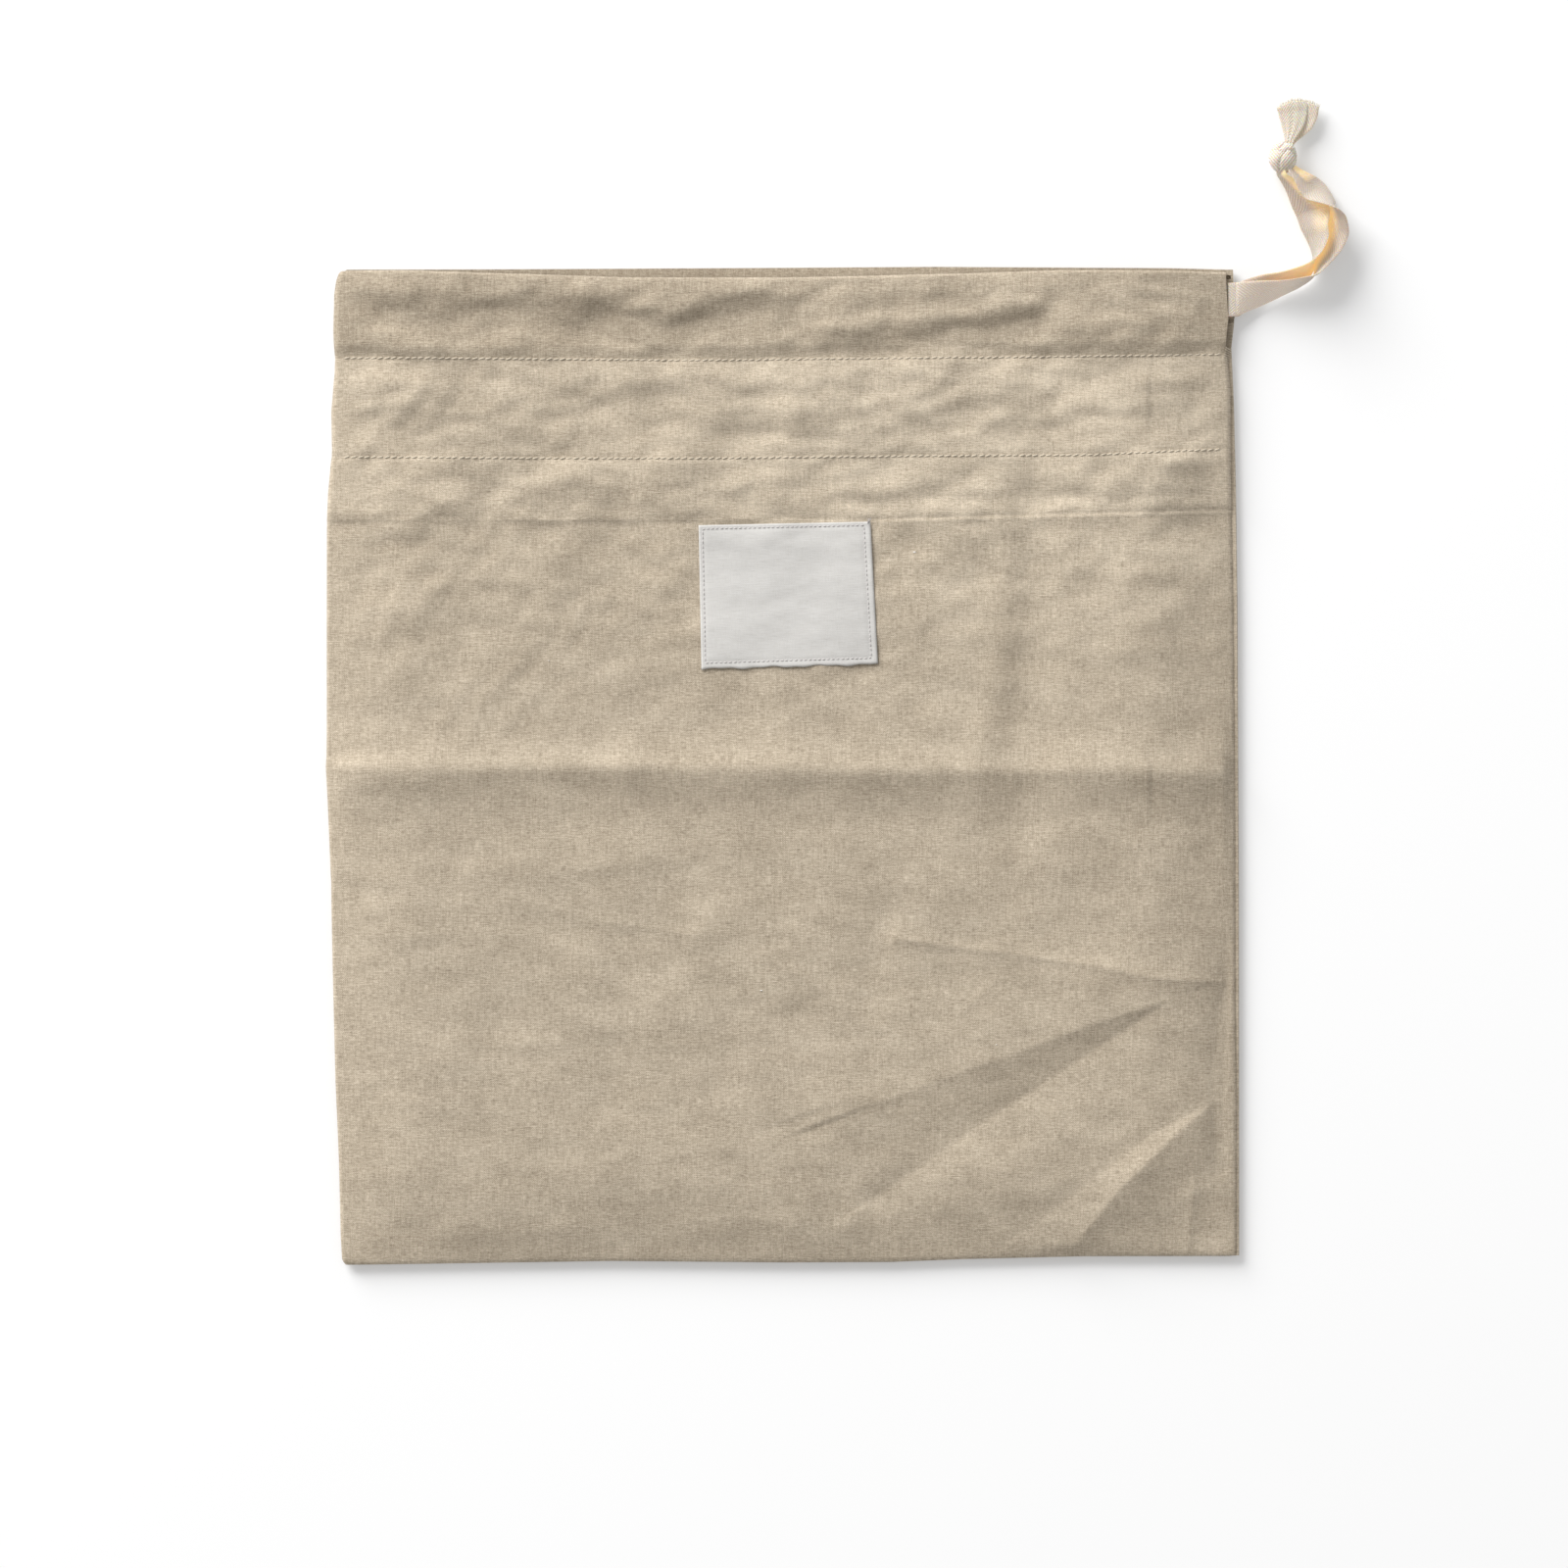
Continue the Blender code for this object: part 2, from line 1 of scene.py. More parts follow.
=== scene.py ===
"""Looks of a linen bread bag that lies flat, with a sewn-on label and a knotted cotton tape.

Tables are in millimetres and meshes in metres. +X is the bag's right, +Y its mouth and +Z up from
the table. The outline and the soft waves are the ones of the part's own source. The folds and the
tape's sections follow the part's, with the fine shapes that its solids leave out.
"""

import math
import random

import bmesh
import bpy
import numpy as np
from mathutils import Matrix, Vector, noise


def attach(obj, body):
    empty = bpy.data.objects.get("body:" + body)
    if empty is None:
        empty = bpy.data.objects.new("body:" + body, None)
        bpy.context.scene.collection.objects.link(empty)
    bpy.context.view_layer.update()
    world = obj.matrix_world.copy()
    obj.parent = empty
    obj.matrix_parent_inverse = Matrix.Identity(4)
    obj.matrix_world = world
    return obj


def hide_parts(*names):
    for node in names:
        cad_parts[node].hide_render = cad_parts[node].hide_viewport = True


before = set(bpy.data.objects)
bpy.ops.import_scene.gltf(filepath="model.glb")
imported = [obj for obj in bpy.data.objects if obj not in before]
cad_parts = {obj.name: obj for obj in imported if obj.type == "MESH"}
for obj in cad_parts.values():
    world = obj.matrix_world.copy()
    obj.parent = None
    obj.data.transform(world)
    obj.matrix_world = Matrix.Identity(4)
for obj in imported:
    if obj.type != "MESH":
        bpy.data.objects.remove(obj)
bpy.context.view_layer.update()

MM = 0.001

# Thickness of the cloth, and where its hem and its band come in
PLY = 1.1
HEM_WALL = 1.9
BAND_WALL = 2.5
HEM_EASE = 7
HEM_EASE_START = 3
BAND_EASE = 6

# How far the front stands off the back
GAP_SIDE = 0.8
ROOF_FULL = 7.35
PUFF_RUN = 38

# Edges: height of the seams and of the slit's ledge, where edges start to round and how far they do,
# and the lips of the back that show past the front
SEAM_EDGE = 2.2
SLIT_LEDGE = 3.1
SLIT_BOTTOM = 162.2
BOTTOM_ROUND = 1.6
RIGHT_ROUND = 1.4
MOUTH_ROUND = 1.4
MOUTH_DROP = 1.1
EDGE_START = 0.05
RIGHT_START = 0.4
SLIT_EDGE = {"start": 0.3, "radius": 0.9, "drop": 0.12}
OVER_LEDGE = 0.2
BACK_LIP = {"gap": 0.25, "least": 0.5, "round": 0.35}
SEAM_LIP = {"gap": 0.3, "round": 0.4}

# Folds: how they fade out at edges and ends, how deep ones level off, and how strong each kind is
RELIEF_FADE = 16
CRISP_FADE = 5
FOLD_END = 0.8
RELIEF_KNEE = -0.6
RELIEF_BELOW_KNEE = 0.5
FOLD_GAIN = 1.15
CRISP_GAIN = 1.9
SOFT_GAIN = 2.8
RIPPLE_GAIN = 0.95
CRUMPLE_GAIN = 3.0

# Crumple: its share below the middle, and the start and run over which it comes in up the bag
CRUMPLE_CALM = 0.24
CRUMPLE_RISE = (5, 95)

# Fine shapes: the deepest that they go, how softly they stop there, and how far the band is raised
FINE_DEEPEST = 0.35
FINE_SOFTNESS = 0.1
BAND_RAISE = 0.85

# Space inside: its distance from the seams, its room under deep folds, its clearance, how far its roof
# is read towards the slit and the mouth, and how far it runs out past the cloth's edge there
SEAM_INSIDE = 5
HOLLOW_ROOM = 1.5
HOLLOW_CLEAR = 0.5
HOLLOW_READING = {"right": 4, "top": 189.0}
PAST_EDGE = 9

# Channel, its turn round the left fold, and the place from the fold where the front's height is read
CHANNEL = {"low": 164.5, "high": 187.6, "height": 1.3, "end": 171.4}
CHANNEL_TURN = {"angle": 80, "steps": 7, "past": 2}
FOLD_START = 4

# Small gaps beside the tape at the slit: two corners of each, and how far down they go
SLIT_HOLES = [(170.8, 188.0, 172.8, 190.0), (171.6, 171.2, 174.2, 173.3)]
SLIT_HOLE_FLOOR = 0.9

# Stitches
STITCH_PITCH = 2.6
LABEL_PITCH = 1.8
THREAD_RADIUS = 0.27
STITCH_SINK = 0.15
STITCH_SHARES = (0.0, 0.12, 0.35, 0.65, 0.88, 1.0)
STITCH_END = 0.55

# Tape, and the studio's floor under it
TAPE_WIDTH = 13
TAPE_THICKNESS = 0.6
TAPE_AXIS = 180.2
FLOOR_DROP = 1.5
FLOOR_HALF = 3000
FLOOR_CLEAR = 0.2

# Grid of the front sheet: columns, and rows between the lines that cross it, denser where the crisp
# folds are, at the lower right; room beside each line, and steps of the rows that follow it
FRONT_SPAN = (-170, 173)
FRONT_COLUMNS = {"left": 92, "right": 192}
COLUMN_TURN = 0.49
FRONT_ROWS = {"low": 134, "body": 72, "hem": 14, "middle": 24, "band": 26}
ROW_TURN = -60
ROW_ROOM = {"seam": 5, "hem": 2.5, "row": 2.6, "mouth": 2.4}
SEAM_STEPS = (0, 0.25, 0.7, 1.4, 2.4, 3.6)
HEM_STEPS = (-1.9, -1.3, -0.8, -0.4, 0, 0.4, 0.9, 1.5)
STITCH_STEPS = (-1.6, -0.8, 0, 0.8, 1.6)
MOUTH_STEPS = (1.4, 0.8, 0.4, 0.15, 0)

# Grids of the left fold, the space inside and the channel
FOLD_STEPS = 9
FOLD_ANGLE = 72
HOLLOW_COLUMNS = 46
HOLLOW_ROWS = 40
CHANNEL_COLUMNS = 60

# Outline of the cloth: place along the side, place across it
LEFT_FOLD = [(-192.0, -169.0), (-190.0, -170.2), (-181, -170.8), (-152, -171.6), (-121, -172.9),
             (-82, -173.9), (-45, -174.6), (1, -176.2), (61, -176.3), (92, -176.2), (106, -175.6),
             (122, -174.1), (137, -174.4), (152, -173.1), (157, -173.0), (168, -173.5), (182, -173.1),
             (187.5, -172.3), (190.3, -171.4), (192.5, -169.9)]
FRONT_RIGHT = [(-189, 174.6), (-130, 174.8), (-90, 174.2), (0, 174.0), (60, 173.4), (107, 172.6),
               (125, 172.4), (145, 172.4), (155, 171.4), (162, 170.5), (173, 171.6), (190, 170.6)]
BACK_RIGHT = [(-189, 176.0), (-45, 175.9), (60, 175.4), (107, 174.8), (140, 174.0), (162, 173.0),
              (173, 174.2), (192, 173.6)]
BOTTOM_SEAM = [(-172, -192.0), (-160, -191.9), (-67, -190.5), (0, -191.1), (40, -190.9),
               (68, -189.8), (114, -188.7), (170, -188.6), (176, -188.2)]
FRONT_TOP = [(-171, 191.2), (-150, 191.3), (-113, 190.2), (-60, 188.5), (-15, 188.4), (0, 188.4),
             (30, 189.0), (70, 190.0), (110, 191.3), (150, 191.2), (171, 190.6)]
BACK_TOP = [(-171, 191.9), (-113, 192.0), (0, 192.6), (60, 193.0), (110, 192.7), (150, 192.5),
            (174, 191.9)]
HEM_LINE = [(-176, 95.2), (38, 95.2), (76, 96.4), (172, 99.0)]
LOWER_STITCH = [(-176, 119.6), (-110, 119.0), (-38, 118.8), (50, 119.8), (120, 120.2), (172, 122.6)]
STITCH_LINE = [(-176, 157.8), (-38, 156.6), (138, 158.4), (172, 159.2)]

# Folds of the front: start and end of the line, height, and how far it falls off to its left and
# right, seen from its start
FOLDS = {
    "pressed_middle_left": (-178, 1, -60, 0, 1.0, 9, 7),
    "pressed_middle_right": (-60, 0, 176, -1, 1.1, 10, 8),
    "side_trough_upper": (99, 140, 95, 40, -0.6, 14, 11),
    "side_trough_lower": (95, 40, 88, -24, -0.7, 14, 11),
    "thin_ridge": (44, -66, 169, -83, 0.35, 6, 7),
    "long_facet_top": (147, -89, 26, -128, 0.9, 18, 26),
    "long_facet_low": (148, -90, 34, -167, -0.15, 9, 9),
    "corner_facet_top": (160, -132, 94, -177, -0.2, 5, 6),
    "corner_facet_low": (166, -130, 114, -184, 0.25, 9, 6),
    "small_corner_crease": (158, -163, 155, -188, 0.5, 5, 5),
    "label_crease": (0, 138, 1, 96, 0.3, 8, 8),
    "middle_crease": (-1, 36, -1, 2, 0.35, 8, 8),
    "band_wave_left": (-170, 181, -75, 171, -0.5, 10, 12),
    "band_wave_middle": (-75, 171, -20, 174, -0.6, 11, 11),
    "band_wave_right": (20, 163, 98, 166, -0.45, 10, 9),
    "band_swell": (-60, 184, -20, 186, 0.5, 8, 8),
    "low_ripple_left": (-119, -42, -55, -36, 0.4, 9, 9),
    "low_ripple_middle": (-31, -63, -9, -51, 0.4, 8, 8),
    "low_ripple_right": (-9, -72, 36, -101, 0.4, 9, 9),
    "seam_pucker": (174, -73, 167, -128, 0.5, 5, 5),
}

# Soft waves all over the front: length, heading in degrees, height and start
WAVES = [
    {"length": 83, "heading": 24, "height": 0.16, "start": 0.4},
    {"length": 61, "heading": 112, "height": 0.14, "start": 2.1},
    {"length": 47, "heading": 63, "height": 0.12, "start": 4.0},
    {"length": 38, "heading": 158, "height": 0.10, "start": 1.3},
    {"length": 29, "heading": 28, "height": 0.07, "start": 5.2},
]

# Creases with a crisp line: points, height, and how far it falls off to its left and right
CRISP_CREASES = {
    "middle_press": ([(-176, 0), (-150, -1), (-120, -0.5), (-60, 0), (0, -0.5), (40, -1), (90, -1),
                      (130, -1.5), (176, -1.5)], 1.55, 7, 18),
    "thin_ridge_line": ([(44, -66), (64, -69), (90, -72), (123, -77), (142, -81), (169, -83)],
                        0.36, 2.0, 2.2),
    "long_facet_ridge": ([(172, -88.5), (148, -90), (116, -100), (90, -110), (64, -119), (37, -129)],
                         0.2, 4, 6),
    "seam_strip": ([(175, -70), (171, -88), (169, -106), (167.5, -128), (169, -155)], -0.95, 2.0, 3.2),
    "corner_pleat": ([(158, -163), (156, -188)], 0.22, 1.6, 1.6),
    "faint_a": ([(6, -50), (37, -45), (64, -39)], 0.09, 1.6, 2.4),
    "faint_b": ([(98, -29), (133, -22)], 0.07, 1.6, 2),
    "faint_c": ([(121, -54), (159, -48)], 0.07, 1.6, 2),
    "faint_d": ([(69, -94), (82, -82)], 0.12, 1.2, 1.6),
    "faint_e": ([(59, -151), (96, -158)], 0.10, 1.4, 2),
    "faint_f": ([(-7, -71), (14, -86), (36, -101)], 0.10, 1.6, 2),
    "faint_g": ([(-119, -41), (-95, -35)], 0.10, 1.5, 2),
    "faint_h": ([(-94, -40), (-72, -39), (-36, -36), (-31, -31)], 0.12, 1.4, 2),
    "faint_i": ([(-111, -51), (-87, -55), (-72, -59), (-33, -65)], 0.17, 1.6, 2.2),
    "faint_j": ([(-31, -63), (-24, -50), (-9, -52)], 0.12, 1.4, 2),
    "faint_k": ([(-9, -72), (8, -81), (22, -91)], 0.09, 1.6, 2),
    "faint_l": ([(-86, 32), (-60, 42)], -0.10, 1.2, 1.2),
    "faint_m": ([(-88, 72), (-38, 73)], -0.05, 1.2, 1.2),
    "faint_n": ([(-2, 140), (-1, 120), (0, 97)], -0.10, 1.2, 1.2),
    "faint_o": ([(-1, 36), (-2, 18), (-1, 3)], -0.10, 1.2, 1.2),
    "faint_p": ([(30, -3), (16, -20), (8, -26)], 0.08, 2, 3),
    "left_dimple_high": ([(-172, 5), (-162, 7), (-150, 5)], -0.4, 2, 3),
    "left_dimple_low": ([(-166, -6), (-152, -8), (-138, -6)], 0.4, 3, 4),
    "left_notch": ([(-175, -44), (-166, -47), (-150, -49)], -0.3, 3, 5),
    "bar_tack_pucker": ([(173, 160), (164, 159), (150, 156)], 0.22, 1.8, 2.4),
    "corner_gather": ([(171, 137), (160, 132), (148, 134)], 0.22, 3, 4),
    "right_crease_high": ([(171, 118), (150, 117), (128, 114)], 0.14, 2, 3),
    "right_crease_low": ([(174, 49), (160, 42), (146, 38)], 0.18, 3, 4),
}

# Flat facets between two crisp lines that meet at a point: the lines from that point, slope from
# the first line to the second, greatest height, and how far it falls off beyond the second line
FACETS = {
    "long_facet": ([(148, -90), (116, -100), (90, -110), (64, -119), (37, -129)],
                   [(148, -90), (129, -103), (103, -120), (77, -137), (59, -150), (34, -167)],
                   -0.34, 1.6, 10),
    "corner_facet": ([(166, -129), (142, -141), (116, -161), (93, -179)],
                     [(166, -129), (154, -139), (129, -163), (113, -184)],
                     0.38, 2.0, 9),
}

# Soft creases: the same columns, with a rounded line
SOFT_CREASES = {
    "band_bulge_left": ([(-170, 184), (-132, 183), (-95, 183), (-75, 181)], 0.42, 6, 5),
    "band_bulge_middle": ([(-75, 181), (-58, 178), (-42, 176), (-28, 183), (-10, 185)], 0.42, 6, 5),
    "band_bulge_right": ([(-10, 185), (20, 184), (60, 186), (110, 187)], 0.22, 6, 5),
    "band_dip_left": ([(-168, 175), (-140, 171), (-110, 168)], -0.5, 8, 6),
    "band_dip_slant": ([(-110, 176), (-85, 169), (-72, 160)], -0.45, 4, 5),
    "band_dip_middle": ([(-72, 170), (-52, 165), (-44, 159), (-30, 172), (-12, 176)], -0.6, 7, 6),
    "band_ridge_right": ([(19, 169), (50, 171), (76, 175), (99, 179)], 0.5, 5, 4),
    "band_dip_right": ([(19, 161), (50, 163), (76, 166), (99, 171)], -0.55, 5, 5),
    "band_bump_right": ([(102, 172), (118, 172), (140, 170)], 0.25, 3, 4),
    "band_edge_left": ([(-150, 163), (-130, 162), (-115, 159)], 0.2, 4, 4),
    "hem_bulge_left": ([(-150, 138), (-120, 146), (-80, 149), (-40, 147)], 0.30, 6, 6),
    "hem_dip_left": ([(-176, 146), (-150, 128), (-128, 112)], -0.28, 5, 6),
    "hem_bulge_middle": ([(-30, 150), (10, 146), (60, 150), (100, 149)], 0.22, 5, 6),
    "hem_dip_middle": ([(-20, 128), (30, 127), (70, 131), (110, 128)], -0.22, 5, 5),
    "hem_bulge_low": ([(-100, 110), (-70, 112), (-40, 110)], 0.26, 6, 6),
    "hem_dip_low": ([(20, 101), (50, 102), (90, 104), (150, 104), (170, 103)], -0.24, 3, 4),
    "hem_bulge_right": ([(110, 140), (140, 143), (165, 140)], 0.22, 5, 6),
    "label_side_dip": ([(36, 70), (60, 66), (84, 72)], -0.12, 6, 6),
    "above_press_bulge": ([(60, 18), (78, 12), (92, 8)], 0.3, 6, 6),
    "side_trough_line": ([(99, 140), (97, 90), (95, 40), (92, 8)], -0.22, 14, 9),
    "right_swell": ([(140, 120), (138, 60), (140, 14)], 0.4, 14, 26),
    "trough_lip": ([(88, 92), (86, 60), (82, 30), (76, 8)], 0.26, 7, 6),
    "below_press_dip": ([(-130, -19), (-60, -21), (20, -20), (96, -19)], -0.14, 9, 10),
    "below_press_right": ([(120, -18), (150, -19), (172, -17)], -0.16, 6, 8),
    "below_facet_swell": ([(146, -108), (118, -130), (90, -150), (68, -168)], 0.1, 9, 9),
    "corner_shade": ([(142, -150), (128, -166), (118, -180)], 0.1, 5, 5),
    "bottom_swell": ([(-130, -180), (-80, -180), (-24, -181)], 0.1, 5, 5),
    "low_streak_a": ([(-64, -70), (-62, -100), (-68, -130)], -0.14, 8, 8),
    "low_streak_b": ([(-20, -96), (-24, -130), (-14, -160)], -0.12, 7, 7),
    "low_streak_c": ([(38, -60), (32, -90), (34, -112)], -0.22, 8, 6),
    "low_streak_d": ([(-110, -84), (-114, -110), (-108, -134)], -0.12, 9, 9),
    "low_streak_e": ([(44, -150), (30, -164), (24, -182)], 0.2, 6, 6),
    "right_streak_a": ([(120, 84), (118, 60), (122, 30)], -0.14, 7, 8),
    "right_streak_b": ([(150, -104), (146, -124), (150, -140)], -0.1, 6, 6),
}

# Fine diagonal ripples of the upper left: middle and half size of where they are, length, heading
RIPPLES = [
    {"middle": (-128, 56), "half": (46, 52), "length": 12, "heading": 152, "height": 0.20},
    {"middle": (-138, 128), "half": (34, 30), "length": 11, "heading": 147, "height": 0.24},
    {"middle": (-90, 40), "half": (40, 40), "length": 7.5, "heading": 143, "height": 0.09},
]

# How the ripples' lines wander: how far, and over which lengths across the bag and up it
RIPPLE_WANDER = [(2.1, 13.0, 23.0), (1.5, -31.0, 9.3)]
RIPPLE_SWING = {"least": 0.6, "more": 0.4, "across": 13.0, "up": -11.0}

# Stitch rows: how deep and wide they pull the cloth down, and the small tugs beside them
STITCH_PULL = {"depth": 0.3, "width": 1.0, "even": 0.75, "uneven": 0.25}
STITCH_TUG = {"height": 0.07, "reach": 3.5, "length": 2.9, "sway": 11.0}

# Where the hem's inner edge shows through: place beside the hem line, depth and width of the ridge at
# the left and of the grooves at the right, and where the one gives way to the others
HEM_RIDGE = (0, -0.13, 0.7)
HEM_GROOVES = [(0.3, 0.22, 0.7), (-1.0, -0.12, 0.7)]
HEM_MARK_TURN = -20
HEM_MARK_BLEND = 60

# Crumple all over: size across the bag and up it, height, and where its noise is read
CRUMPLE = [
    {"across": 32, "up": 21, "height": 0.50, "place": 3.1},
    {"across": 17, "up": 9.5, "height": 0.42, "place": 17.3},
    {"across": 10, "up": 5.2, "height": 0.22, "place": 41.9},
    {"across": 5.5, "up": 2.8, "height": 0.07, "place": 77.7},
]

# Label: corners from its lower left, how it lies, its stitching's inset, and its small shapes, which are
# a thin rim, the pull of its stitches, a crease, a ripple, a wavy lower edge and a tuft at one corner
LABEL_CORNERS = [(-31.4, 37.7), (36.6, 39.6), (33.7, 94.5), (-32.5, 93.1)]
LABEL_LIFT = 0.35
LABEL_THICKNESS = 0.5
LABEL_COLUMNS = 84
LABEL_ROWS = 68
LABEL_INSET = {"left": 1.5, "right": 2.6, "top": 1.4, "bottom": 2.4}
LABEL_SIZE = (68, 56)
LABEL_FINE_SHARE = 0.3
LABEL_RIM = {"depth": 0.15, "width": 0.35}
LABEL_PULL = {"depth": 0.22, "width": 0.8}
LABEL_CREASE = {"middle": (2.6, 44), "depth": 0.07, "across": 1.2, "up": 22}
LABEL_RIPPLE = {"middle": 84, "height": 0.05, "length": 1.9, "up": 12}
LOW_EDGE_WAVES = [(0.5, 3.1, 0), (0.3, 1.3, 1)]
LOW_EDGE = {"share": 0.03, "sway": 0.5, "lift": 0.12}
LABEL_TUFT = {"corner": (33.4, 94.3), "inset": 0.7, "threads": 7}

# Tape sections: foot edge x and y, head edge x and y, height of the foot edge, width and hollow
UPPER_TAPE = [
    (171.7, 173.7, 171.7, 186.7, 4.55, 13.0, 0.0),
    (174.6, 173.9, 174.8, 186.9, 4.2, 13.0, 0.0),
    (178.5, 175.4, 179.2, 187.1, 2.6, 13.0, 0.2),
    (185.0, 178.3, 185.8, 187.1, 1.1, 13.0, 0.3),
    (193.7, 182.3, 193.8, 187.4, 0.5, 13.0, 0.3),
    (200.2, 185.8, 199.9, 188.1, 0.5, 13.0, 0.3),
    (205.0, 189.7, 205.3, 189.5, 0.5, 13.0, 0.3),
    (204.6, 195.0, 209.4, 192.8, 0.5, 13.0, 0.4),
    (206.2, 199.0, 213.4, 197.0, 0.5, 13.0, 0.5),
    (207.2, 203.0, 216.4, 201.8, 0.5, 13.0, 0.5),
    (208.1, 206.9, 217.8, 205.7, 0.5, 13.0, 0.4),
    (208.9, 210.1, 217.4, 209.1, 0.5, 13.0, 0.2),
    (209.8, 213.2, 216.3, 212.0, 0.5, 13.0, 0.0),
    (210.4, 215.9, 214.0, 214.1, 0.5, 13.0, -0.2),
    (213.2, 217.5, 210.0, 215.9, 0.5, 13.0, -0.4),
    (211.9, 220.9, 205.5, 217.5, 0.6, 12.6, -0.6),
    (209.3, 224.7, 201.3, 219.0, 1.0, 12.0, -0.7),
    (205.9, 227.7, 198.9, 222.0, 1.5, 10.8, -0.7),
    (201.7, 229.8, 197.0, 225.8, 2.2, 8.6, -0.5),
    (197.8, 231.8, 195.0, 229.3, 3.2, 6.0, -0.2),
    (195.6, 234.4, 193.2, 232.4, 4.2, 4.2, 0.0),
]
LOWER_TAPE = [
    (171.7, 173.7, 171.7, 186.7, 1.25, 13.0, 0.0),
    (175.6, 174.0, 175.6, 187.0, 1.15, 13.0, 0.0),
    (179.6, 176.4, 179.8, 188.4, 0.6, 13.0, 0.0),
    (185.8, 180.4, 185.8, 189.7, 0.5, 13.0, 0.2),
    (193.7, 184.2, 193.0, 190.8, 0.5, 13.0, 0.3),
    (200.4, 187.2, 198.6, 192.4, 0.5, 13.0, 0.3),
    (204.5, 190.9, 203.4, 194.8, 0.5, 13.0, 0.3),
    (204.5, 196.6, 207.2, 198.2, 0.5, 13.0, 0.3),
    (203.4, 200.6, 209.0, 201.6, 0.5, 13.0, 0.4),
    (201.7, 204.4, 210.0, 205.0, 0.5, 13.0, 0.5),
    (199.8, 208.2, 209.8, 208.8, 0.5, 13.0, 0.6),
    (198.4, 212.0, 211.0, 214.9, 0.5, 13.3, 0.8),
    (196.4, 216.4, 209.4, 218.2, 0.6, 13.3, 0.8),
    (194.3, 222.0, 201.2, 223.5, 0.9, 7.7, 0.6),
    (192.0, 226.2, 197.0, 226.7, 1.6, 6.2, 0.4),
    (190.6, 229.0, 193.6, 228.8, 2.4, 6.0, 0.2),
    (191.0, 233.4, 193.4, 233.2, 3.6, 4.4, 0.0),
]
UPPER_TAIL = [
    (193.4, 237.6, 196.0, 237.6, 5.2, 3.4, 0.0),
    (193.4, 241.2, 196.9, 241.2, 5.2, 3.7, 0.2),
    (193.0, 244.2, 198.9, 244.2, 4.0, 6.0, 0.2),
    (192.2, 247.8, 201.2, 248.0, 2.8, 9.05, 0.2),
    (191.3, 251.4, 202.4, 252.4, 2.0, 11.16, 0.1),
    (190.8, 253.9, 203.0, 255.9, 1.8, 12.37, 0.1),
]
LOWER_TAIL = [
    (193.4, 237.4, 196.2, 237.2, 3.8, 3.2, 0.0),
    (194.0, 240.5, 197.2, 240.4, 2.9, 3.6, 0.0),
    (195.0, 243.8, 200.6, 243.4, 1.8, 5.8, 0.0),
    (195.4, 247.2, 204.0, 246.4, 0.9, 9.0, 0.0),
    (195.2, 251.0, 206.0, 250.4, 0.6, 11.1, 0.0),
    (194.8, 254.4, 206.8, 254.6, 0.6, 12.28, 0.0),
]
TAPE_STEPS = 8
TAPE_ACROSS = 16

# Tape: its thicker edges and their waves, and the grooves of a tail as place, depth and width
TAPE_EDGE = {"from": 0.8, "thicker": 0.06, "last": 0.45}
TAPE_WAVE = {"height": 0.10, "length": 2.3}
TAIL_GROOVES = [-0.38, 0.26]
TAIL_GROOVE_DEPTH = (0.6, 0.18)
TAIL_GROOVE_WIDTH = (0.13, 0.20)
TAIL_FAN = 2.0
# Orange painted shade in a tail's grooves
TAIL_PAINTED_SHADE = 0.8

# Frayed yarns of a tail's end: how far in they start, their length in the middle and how much shorter
# they are at the sides, how far they fan out, and their radius along them
FRINGE = {"inset": 0.8, "length": 1.1, "middle": 1.15, "side": 0.6, "fan": 0.35}
FRINGE_RADII = [(0.0, 0.17), (0.35, 0.16), (0.7, 0.13), (1.0, 0.07)]

# Knot: middle and half sizes; creases as lines seen from above its middle, with depth and width;
# lobes as places seen from above its middle, with height and reach
KNOT_MIDDLE = (192.7, 235.0, 4.9)
KNOT_HALF = (5.5, 6.2, 4.6)
KNOT_CREASES = [
    ([(0.0, 1.2), (1.5, 2.8), (3.0, 2.5), (4.3, 1.2), (5.3, -0.2)], 0.55, 0.42),
    ([(0.0, 1.2), (-1.3, -1.4), (-1.7, -3.1), (-1.4, -5.2)], 0.3, 0.5),
    ([(-5.0, 2.4), (-2.2, 2.7), (-0.3, 1.8)], 0.35, 0.5),
    ([(0.3, 4.9), (-0.6, 3.9), (-1.6, 3.4)], 0.4, 0.45),
    ([(1.0, 5.8), (3.2, 5.9), (4.8, 4.9)], 0.4, 0.6),
    ([(3.2, -3.9), (4.3, -2.6), (5.0, -1.4)], 0.4, 0.5),
]
KNOT_LOBES = [(-3.0, -0.8, 0.45, 2.2), (2.2, -1.6, 0.45, 2.2), (3.0, 4.0, 0.55, 1.8), (-1.8, 4.2, 0.3, 1.6)]
KNOT_SWELL_START = -0.3
KNOT_SWELL_RUN = 0.5
KNOT_TWILL_LEAN = -1.5

# Small things on the cloth: lint as place and size, and close stitches across the end of the slit
LINT_PLACES = [(50.7, 82.8, 1.1), (-8.3, -86.0, 0.8), (82.1, -106.8, 0.5), (-90.2, 41.0, 0.4)]
LINT_YARNS = 4
BAR_TACK = {"y": 156.4, "pitch": 0.8, "count": 7, "left": 169.2, "right": 172.4}

# Linen: its yarn and shades; size across and up of its cloudy patches; length and thickness of its
# streaks of thicker yarn; and how far patches and streaks tint it
LINEN_YARN = {"Yarn": 0.42, "Slub": 2.2, "Unevenness": 0.75}
LINEN_SHADES = [(0.1, (0.21, 0.168, 0.117)), (0.5, (0.435, 0.364, 0.274)), (0.9, (0.68, 0.59, 0.463))]
PATCH = (19, 11)
PATCH_TINT = 0.35
STREAK = (9, 0.7)
STREAK_TINT = 0.37
